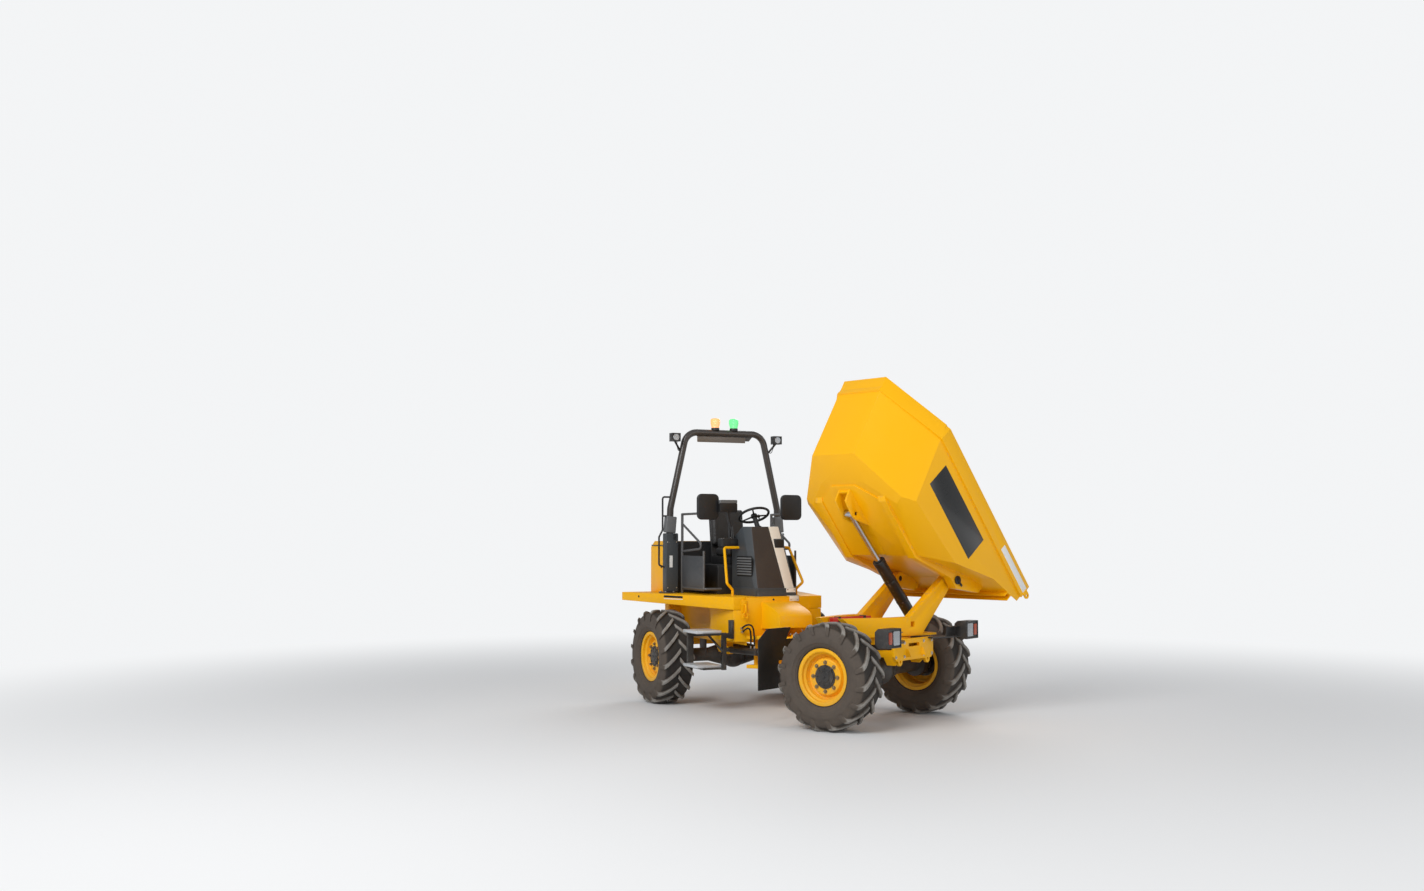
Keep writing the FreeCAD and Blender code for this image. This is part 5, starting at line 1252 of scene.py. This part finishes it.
# %% Clasps, screws and strip
CLASP_Y = 0.690
bm = bmesh.new()
for s in BOTH:
    y = s * CLASP_Y
    block(bm, (COVER_FRONT, y - 0.014, 1.905), (COVER_FRONT + 0.010, y + 0.014, 1.955), 0.003)
    block(bm, (COVER_FRONT + 0.006, y - 0.008, 1.890), (COVER_FRONT + 0.014, y + 0.008, 1.930), 0.002)
place(bm, "post_clasps", ON_REAR, black_plastic)
bm = bmesh.new()
for s in BOTH:
    spots = [(COVER_FRONT, s * y, z) for y in (0.660, 0.775) for z in (1.320, 1.860)]
    bolts(bm, spots, (1, 0, 0), 0.006, 0.004)
place(bm, "post_screws", ON_REAR, bright)
bm = bmesh.new()
slab(bm, (-1.6903, -0.752, 1.560), (-1.6890, -0.712, 1.700), 0, 0.004, 0)
place(bm, "post_label", ON_REAR, label)

# %% [markdown]
# A thin black tube stands off the right post, held at its two ends and by a stub between them. It guards
# the cable that runs up to the lamps.

# %% Cable guard
bm = bmesh.new()
GUARD_LINE = [(-0.730, 2.396), (-0.822, 2.396), (-0.821, 2.003), (-0.867, 1.920), (-0.867, 1.588),
              (-0.795, 1.560)]
tube(bm, [(HOOP_X, y, z) for y, z in GUARD_LINE], 0.011, 0.026, 16)
cylinder(bm, (HOOP_X, -0.735, 2.170), (HOOP_X, -0.821, 2.170), 0.010, sides=16)
place(bm, "cable_guard", ON_REAR, black_paint)

# %% [markdown]
# Two beacons stand on the hoop. Each lens is one turned profile: it widens from its foot to a band and
# closes in a flat dome, and fine rings inside spread the light.

# %% Beacons
def beacon(y, profile):
    """A turned profile stood upright on the hoop's top."""
    bm = bmesh.new()
    turned(bm, profile, 48)
    upright = Matrix.Translation((HOOP_X, y, 0)) @ Matrix.Rotation(math.pi / 2, 4, "X")
    bmesh.ops.transform(bm, matrix=upright, verts=bm.verts)
    return bm


LENS = [(0.0000, 3.244), (0.0460, 3.244), (0.0470, 3.252), (0.0560, 3.292), (0.0580, 3.300),
        (0.0580, 3.338), (0.0560, 3.346), (0.0440, 3.356), (0.0240, 3.360), (0.0000, 3.361)]
BASE = [(0.0000, 3.214), (0.0500, 3.214), (0.0500, 3.238), (0.0480, 3.2435), (0.0000, 3.2435)]
for name, y, material in (("beacon_amber", -0.125, amber), ("beacon_green", 0.125, green)):
    dome = place(beacon(y, LENS), name + "_skin", ON_REAR, material, 30)
    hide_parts(name)
    place(beacon(y, BASE), name + "_base", ON_REAR, black_plastic)

# %% [markdown]
# A work lamp is a square black box with soft corners and a round lens. Its lead hangs in a small loop on
# its way back into the hoop.

# %% Work lamps
GLASS_SPOT = (0.685, 3.110)
LEAD_LINE = [(-1.700, 0.650, 3.064), (-1.705, 0.655, 3.020), (-1.715, 0.630, 2.950), (-1.728, 0.590, 2.960),
             (-1.732, 0.560, 3.000)]
rounded("work_lamps", "rear_chassis", black_paint, 0.006, 3)
bm = bmesh.new()
for s in BOTH:
    y, z = GLASS_SPOT
    cylinder(bm, (-1.6482, s * y, z), (-1.6420, s * y, z), 0.041, 0.038, sides=40, width=0.002)
place(bm, "work_lamp_glass", ON_REAR, lamp_glass)
bm = bmesh.new()
for s in BOTH:
    tube(bm, [(x, s * y, z) for x, y, z in LEAD_LINE], 0.004, 0.018, 10)
place(bm, "lamp_leads", ON_REAR, flap)

# %% [markdown]
# ## Operator station
#
# The seat stands between two tube guards, behind a moulded console. The console's sides are slate, their
# bluish tint partly a painted reflection of the sky, and its front is a darker brown, which is painted
# shade.
# The guards' sheet panels are darker than their tubes, so faces are given a second material by the way they
# look.

# %% Console, guards and seat box
def second_finish(thing, material, chosen):
    """Gives the faces that pass a test another finish."""
    thing.data.materials.append(material)
    picked = [face for face in thing.data.polygons if chosen(face)]
    for face in picked:
        face.material_index = 1
    print(thing.name, len(picked), "faces in", material.name)


CONSOLE_FOOT_Z = 1.36
console = rounded("console", "rear_chassis", panel_grey, 0.020, 4, 14)
# The console's forward-facing faces get the darker brown: painted shade on its front.
second_finish(console, shaded_console_front, lambda f: f.normal.x > 0.6 and f.center.z > CONSOLE_FOOT_Z)
guards = rounded("side_guards", "rear_chassis", tube_grey, 0.003, 2)
second_finish(guards, guard_grey, lambda f: abs(f.normal.y) > 0.95 and f.area > 0.02)
rounded("console_front_panel", "rear_chassis", cream, 0.0015, 2)
rounded("display_and_levers", "rear_chassis", black_plastic, 0.004, 2)
rounded("seat_plinth", "rear_chassis", black_plastic, 0.012, 3)
rounded("seat_base", "rear_chassis", black_plastic, 0.006, 2)

# %% [markdown]
# Each guard is closed below by a rail that runs forward and turns in to the console, with a post at the
# corner.

# %% Guard rails
RAIL_Z, RAIL_Y = 1.322, 0.600
RAIL_LINE = [(-1.660, RAIL_Y, 1.420), (-1.660, RAIL_Y, RAIL_Z), (-1.035, RAIL_Y, RAIL_Z),
             (-1.020, 0.395, RAIL_Z)]
bm = bmesh.new()
for s in BOTH:
    tube(bm, [(x, s * y, z) for x, y, z in RAIL_LINE], 0.015, 0.045, 20)
    tube(bm, [(-1.055, s * RAIL_Y, RAIL_Z), (-1.055, s * RAIL_Y, 1.760)], 0.013, 0.040, 20)
place(bm, "guard_rails", ON_REAR, tube_grey)

# %% [markdown]
# A step is a bright tread in a black frame. The yellow bows beside the console are hand rails for
# climbing in: bent tubes that start in the console's side and end on the deck.

# %% Steps and hand rails
rounded("step_frames", "rear_chassis", black_paint, 0.003, 2)
rounded("step_treads", "rear_chassis", zinc, 0.002, 2)
CONSOLE_SIDES = ((-1, 0.2353), (1, 0.2653))
bm = bmesh.new()
for s, wall in CONSOLE_SIDES:
    tube(bm, [(-0.887, s * wall, 1.80), (-0.887, s * 0.42, 1.80), (-0.675, s * 0.49, 1.40),
              (-0.695, s * 0.41, 1.325), (-0.695, s * 0.41, 1.255)], 0.016, 0.032, 20)
rails = place(bm, "grab_rails_skin", ON_REAR, paint)
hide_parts("grab_rails")

# %% [markdown]
# A mirror's housing is a shallow tub with large round corners. The corners are bevelled first, along the
# edges that run forward, and the rims after them.

# %% Mirrors
bm = merged_copy("mirrors")
forward = [e for e in hard_edges(bm) if abs((e.verts[0].co - e.verts[1].co).normalized().x) > 0.9]
bevel(bm, forward, 0.060, 6)
bevel(bm, hard_edges(bm, 60), 0.012, 3)
heads = place(bm, "mirrors_skin", (HOME, "rear_chassis"), black_plastic)
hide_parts("mirrors")
bm = bmesh.new()
for s, near, far in both_sides(0.430, 0.663):
    slab(bm, (-1.0868, near, 2.142), (-1.0846, far, 2.398), 0, 0.045, 0.0005)
place(bm, "mirror_glass", ON_REAR, mirror_glass)

# %% [markdown]
# Seven slats on the console's right side let warm air out of it. One slat is a wedge, drawn as its end
# and extruded, and a black sheet behind them is painted shade that gives the gaps their depth.

# %% Slats
SLATS, SLAT_PITCH, SLAT_FOOT_Z = 7, 0.030, 1.490
bm = bmesh.new()
for row in range(SLATS):
    z = SLAT_FOOT_Z + SLAT_PITCH * row
    plate(bm, [(-0.915, -0.2348, z), (-0.915, -0.2348, z + 0.019), (-0.915, -0.2470, z + 0.006),
               (-0.915, -0.2470, z)], (0.350, 0, 0), 0.0008)
place(bm, "console_slats", ON_REAR, cap_grey)
bm = bmesh.new()
# A thin black sheet behind the slats: painted shade in the gaps.
slab(bm, (-0.935, -0.2356, 1.472), (-0.545, -0.2346, 1.704), 1, 0.020, 0)
place(bm, "slat_gap_shade", ON_REAR, flap)

# %% [markdown]
# A knuckle sits on the cream strip, and the lever pod hangs on the console's right side under four
# screws.

# %% Knuckle and lever pod
POD_TOP_Z = 1.905
bm = bmesh.new()
slab(bm, (-0.664, 0.086, 1.790), (-0.596, 0.202, 1.900), 1, 0.026, 0.008)
place(bm, "strip_knuckle", ON_REAR, black_plastic)
bm = bmesh.new()
slab(bm, (-1.040, -0.432, 1.800), (-0.905, -0.2353, POD_TOP_Z), 0, 0.020, 0.004)
place(bm, "lever_pod", ON_REAR, black_plastic)
bm = bmesh.new()
bolts(bm, [(x, y, POD_TOP_Z) for y in (-0.400, -0.300) for x in (-1.000, -0.940)], (0, 0, 1), 0.006, 0.004)
place(bm, "pod_screws", ON_REAR, bright)

# %% [markdown]
# The display stands on a bent stalk: a dark case, a lighter hood over it and a flat dark screen.

# %% Display
bm = bmesh.new()
slab(bm, (-1.024, -0.428, 2.206), (-0.984, -0.202, 2.312), 0, 0.014, 0.003)
tube(bm, [(-1.000, -0.330, 2.212), (-1.000, -0.322, 2.170), (-0.998, -0.258, 1.940),
          (-0.990, -0.250, 1.900)], 0.019, 0.040, 20)
place(bm, "display_case", ON_REAR, black_plastic)
bm = bmesh.new()
slab(bm, (-1.026, -0.430, 2.312), (-0.982, -0.200, 2.349), 2, 0.014, 0.004)
place(bm, "display_hood", ON_REAR, cap_grey)
bm = bmesh.new()
slab(bm, (-1.0252, -0.416, 2.216), (-1.0236, -0.214, 2.302), 0, 0.006, 0)
place(bm, "display_screen", ON_REAR, plate_black)

# %% [markdown]
# The cream cover goes on down over the foot of the console and the edge of the deck, in three flat
# lengths held by four screws.

# %% Foot of the cover
STRIP_Y = (0.147, 0.265)
COVER_RUNS = [
    # back and front in X, low and high in Z
    (-0.4485, -0.4435, 1.256, 1.3425),
    (-0.4470, -0.3660, 1.2552, 1.2592),
    (-0.3698, -0.3660, 1.200, 1.2590),
]
bm = bmesh.new()
for back, front, low, high in COVER_RUNS:
    block(bm, (back, STRIP_Y[0], low), (front, STRIP_Y[1], high), 0.001)
place(bm, "cover_foot", ON_REAR, cream)
bm = bmesh.new()
for y in (0.163, 0.249):
    bolts(bm, [(-0.3660, y, 1.216), (-0.4435, y, 1.325)], (1, 0, 0), 0.005, 0.003)
place(bm, "cover_screws", ON_REAR, bright)

# %% [markdown]
# The bonnet is closed by a lock low on its side. Its front corner carries a small isolator switch in a
# black frame, and a dark rubber line marks the joint of its lid.

# %% Bonnet fittings
bm = bmesh.new()
slab(bm, (-1.8295, -0.715, 1.610), (-1.8180, -0.620, 1.775), 0, 0.010, 0.002)
for s, near, far in both_sides(0.7395, 0.7420):
    block(bm, (-2.262, near, 1.812), (-1.846, far, 1.824), 0.0005)
    cylinder(bm, (-1.960, s * 0.7395, 1.560), (-1.960, s * 0.7450, 1.560), 0.016, sides=28, width=0.001)
place(bm, "bonnet_fittings", ON_REAR, black_plastic)
bm = bmesh.new()
slab(bm, (-1.8182, -0.702, 1.690), (-1.8150, -0.634, 1.760), 0, 0.006, 0.001)
cylinder(bm, (-1.8185, -0.668, 1.650), (-1.8080, -0.668, 1.650), 0.014, sides=24, width=0.002)
place(bm, "isolator", ON_REAR, cap_grey)

# %% [markdown]
# The steering wheel is a padded ring on three spokes with a spinner knob. Its ring is a circle spun
# once round; the spokes sink into it, as the foam covers their ends. Rubber bellows close the foot of its
# column in six folds.

# %% Steering wheel
def steering_mesh():
    """Rim, hub, three spokes and the knob, in the tilted frame of the wheel."""
    bm = bmesh.new()
    ring(bm, (0, 0, 0), HOME, 0.175, 0.015, 64)
    cylinder(bm, (0, 0, -0.030), (0, 0, 0.010), 0.042, 0.036, sides=40, width=0.006)
    for angle in (90, 210, 330):
        a = math.radians(angle)
        way = Vector((math.cos(a), math.sin(a), 0))
        cylinder(bm, way * 0.03 + Vector((0, 0, -0.012)), way * 0.170, 0.011, 0.008, sides=16)
    cylinder(bm, (-0.12, 0.128, 0.010), (-0.12, 0.128, 0.040), 0.008, sides=16)
    bmesh.ops.create_uvsphere(bm, u_segments=24, v_segments=16, radius=0.021,
                              matrix=Matrix.Translation((-0.12, 0.128, 0.052)))
    return bm


tilt = REAR @ Matrix.Translation((-0.960, 0, 2.175)) @ Matrix.Rotation(math.radians(-28), 4, "Y")
wheel = place(steering_mesh(), "steering_wheel", (tilt, "rear_chassis"), black_plastic)
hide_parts("steering_column")
bm = bmesh.new()
cylinder(bm, (-0.810, 0, 1.960), (-0.948, 0, 2.155), 0.032, 0.026, sides=32)
BELLOWS = 6
bellows_foot, bellows_head = Vector((-0.816, 0, 1.968)), Vector((-0.860, 0, 2.030))
for step in range(BELLOWS):
    low = bellows_foot.lerp(bellows_head, step / BELLOWS)
    high = bellows_foot.lerp(bellows_head, (step + 0.8) / BELLOWS)
    cylinder(bm, low, high, 0.060 - 0.003 * step, sides=40, width=0.003)
place(bm, "column", ON_REAR, black_plastic)

# %% [markdown]
# ## Back of the machine
#
# Such machines carry a lamp group at each corner of the deck, red outside and orange inside, and a plate
# for a number between them. The plate stays blank.

# %% Rear lamps and plate
LAMP_Y, RED_Y, ORANGE_Y = 0.900, 0.945, 0.838
bm = bmesh.new()
for s in BOTH:
    slab(bm, (-2.292, s * LAMP_Y - 0.110, 1.166), (-2.279, s * LAMP_Y + 0.110, 1.246), 0, 0.014, 0.002)
slab(bm, (-2.286, -0.180, 1.166), (-2.279, 0.180, 1.246), 0, 0.006, 0.001)
place(bm, "rear_lamp_bases", ON_REAR, black_plastic)
for name, y, half, material in (("rear_red_lenses", RED_Y, 0.050, red_lens),
                                ("rear_orange_lenses", ORANGE_Y, 0.040, orange_lens)):
    bm = bmesh.new()
    for s in BOTH:
        slab(bm, (-2.298, s * y - half, 1.176), (-2.291, s * y + half, 1.236), 0, 0.010, 0.002)
    place(bm, name, ON_REAR, material)
bm = bmesh.new()
slab(bm, (-2.2885, -0.170, 1.172), (-2.2855, 0.170, 1.240), 0, 0.004, 0.0005)
place(bm, "number_plate", ON_REAR, label)

# %% [markdown]
# ## Seat cushions
#
# A cushion's cover is cut a little small and the foam pushes it out, so it bulges between its seams.
# The cloth solver does the same: a closed box with an even net of small faces is inflated without
# gravity. A cap on how far any point may travel keeps it clear of the pan.

# %% Cushions
VOXEL, PRESSURE, FRAMES, CAP, FILL = 0.006, 4.0, 20, 0.012, 0.7


def cushion(name, low, high, matrix):
    """Inflates a closed cover with the cloth solver and smooths it once."""
    bm = bmesh.new()
    block(bm, low, high, 0.030, 4)
    thing = place(bm, name + "_skin", (matrix, "rear_chassis"), vinyl, 180)
    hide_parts(name)
    bpy.context.view_layer.objects.active = thing
    remesh = thing.modifiers.new("Even net", "REMESH")
    remesh.mode = "VOXEL"
    remesh.voxel_size = VOXEL
    bpy.ops.object.modifier_apply(modifier=remesh.name)
    start = [v.co.copy() for v in thing.data.vertices]
    cloth = thing.modifiers.new("Cover", "CLOTH")
    cloth.settings.use_pressure = True
    cloth.settings.uniform_pressure_force = PRESSURE
    cloth.settings.effector_weights.gravity = 0.0
    cloth.point_cache.frame_start = 1
    cloth.point_cache.frame_end = FRAMES
    for step in range(1, FRAMES + 1):
        scene.frame_set(step)
    bpy.ops.object.modifier_apply(modifier=cloth.name)
    scene.frame_set(1)
    for vertex, origin in zip(thing.data.vertices, start):
        shift = vertex.co - origin
        if shift.length > CAP:
            vertex.co = origin + shift.normalized() * CAP
    moved = max((v.co - o).length for v, o in zip(thing.data.vertices, start))
    print(name, "swelled by", round(moved * 1000, 1), "mm at most")
    smooth = thing.modifiers.new("Smooth", "SUBSURF")
    smooth.levels = smooth.render_levels = 1
    bpy.ops.object.modifier_apply(modifier=smooth.name)
    thing.data.shade_smooth()


cushion("seat_cushion", (-1.568, -0.228, 1.703), (-1.172, 0.228, 1.788), REAR)
BACK = REAR @ Matrix.Translation((-1.590, 0, 1.800)) @ Matrix.Rotation(math.radians(-8), 4, "Y")
cushion("seat_backrest", (-0.088, -0.223, 0.022), (-0.012, 0.223, 0.468), BACK)

# %% [markdown]
# A welted seam runs round the seat cushion where its top panel meets its border. It is a thin cord sewn
# into the joint, so here it is a thin tube on the same line.

# %% Seams
SEAM_BACK, SEAM_FRONT, SEAM_HALF, SEAM_Z = -1.5735, -1.1665, 0.2345, 1.778
route = [(-1.37, -SEAM_HALF), (SEAM_FRONT, -SEAM_HALF), (SEAM_FRONT, SEAM_HALF), (SEAM_BACK, SEAM_HALF),
         (SEAM_BACK, -SEAM_HALF), (-1.371, -SEAM_HALF)]
bm = bmesh.new()
tube(bm, [(x, y, SEAM_Z) for x, y in route], 0.0032, 0.030, 8)
place(bm, "seat_seam", ON_REAR, vinyl)

# %% Sizes
low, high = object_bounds()
print("finished model fills", [round(v, 3) for v in (high - low)], "m")
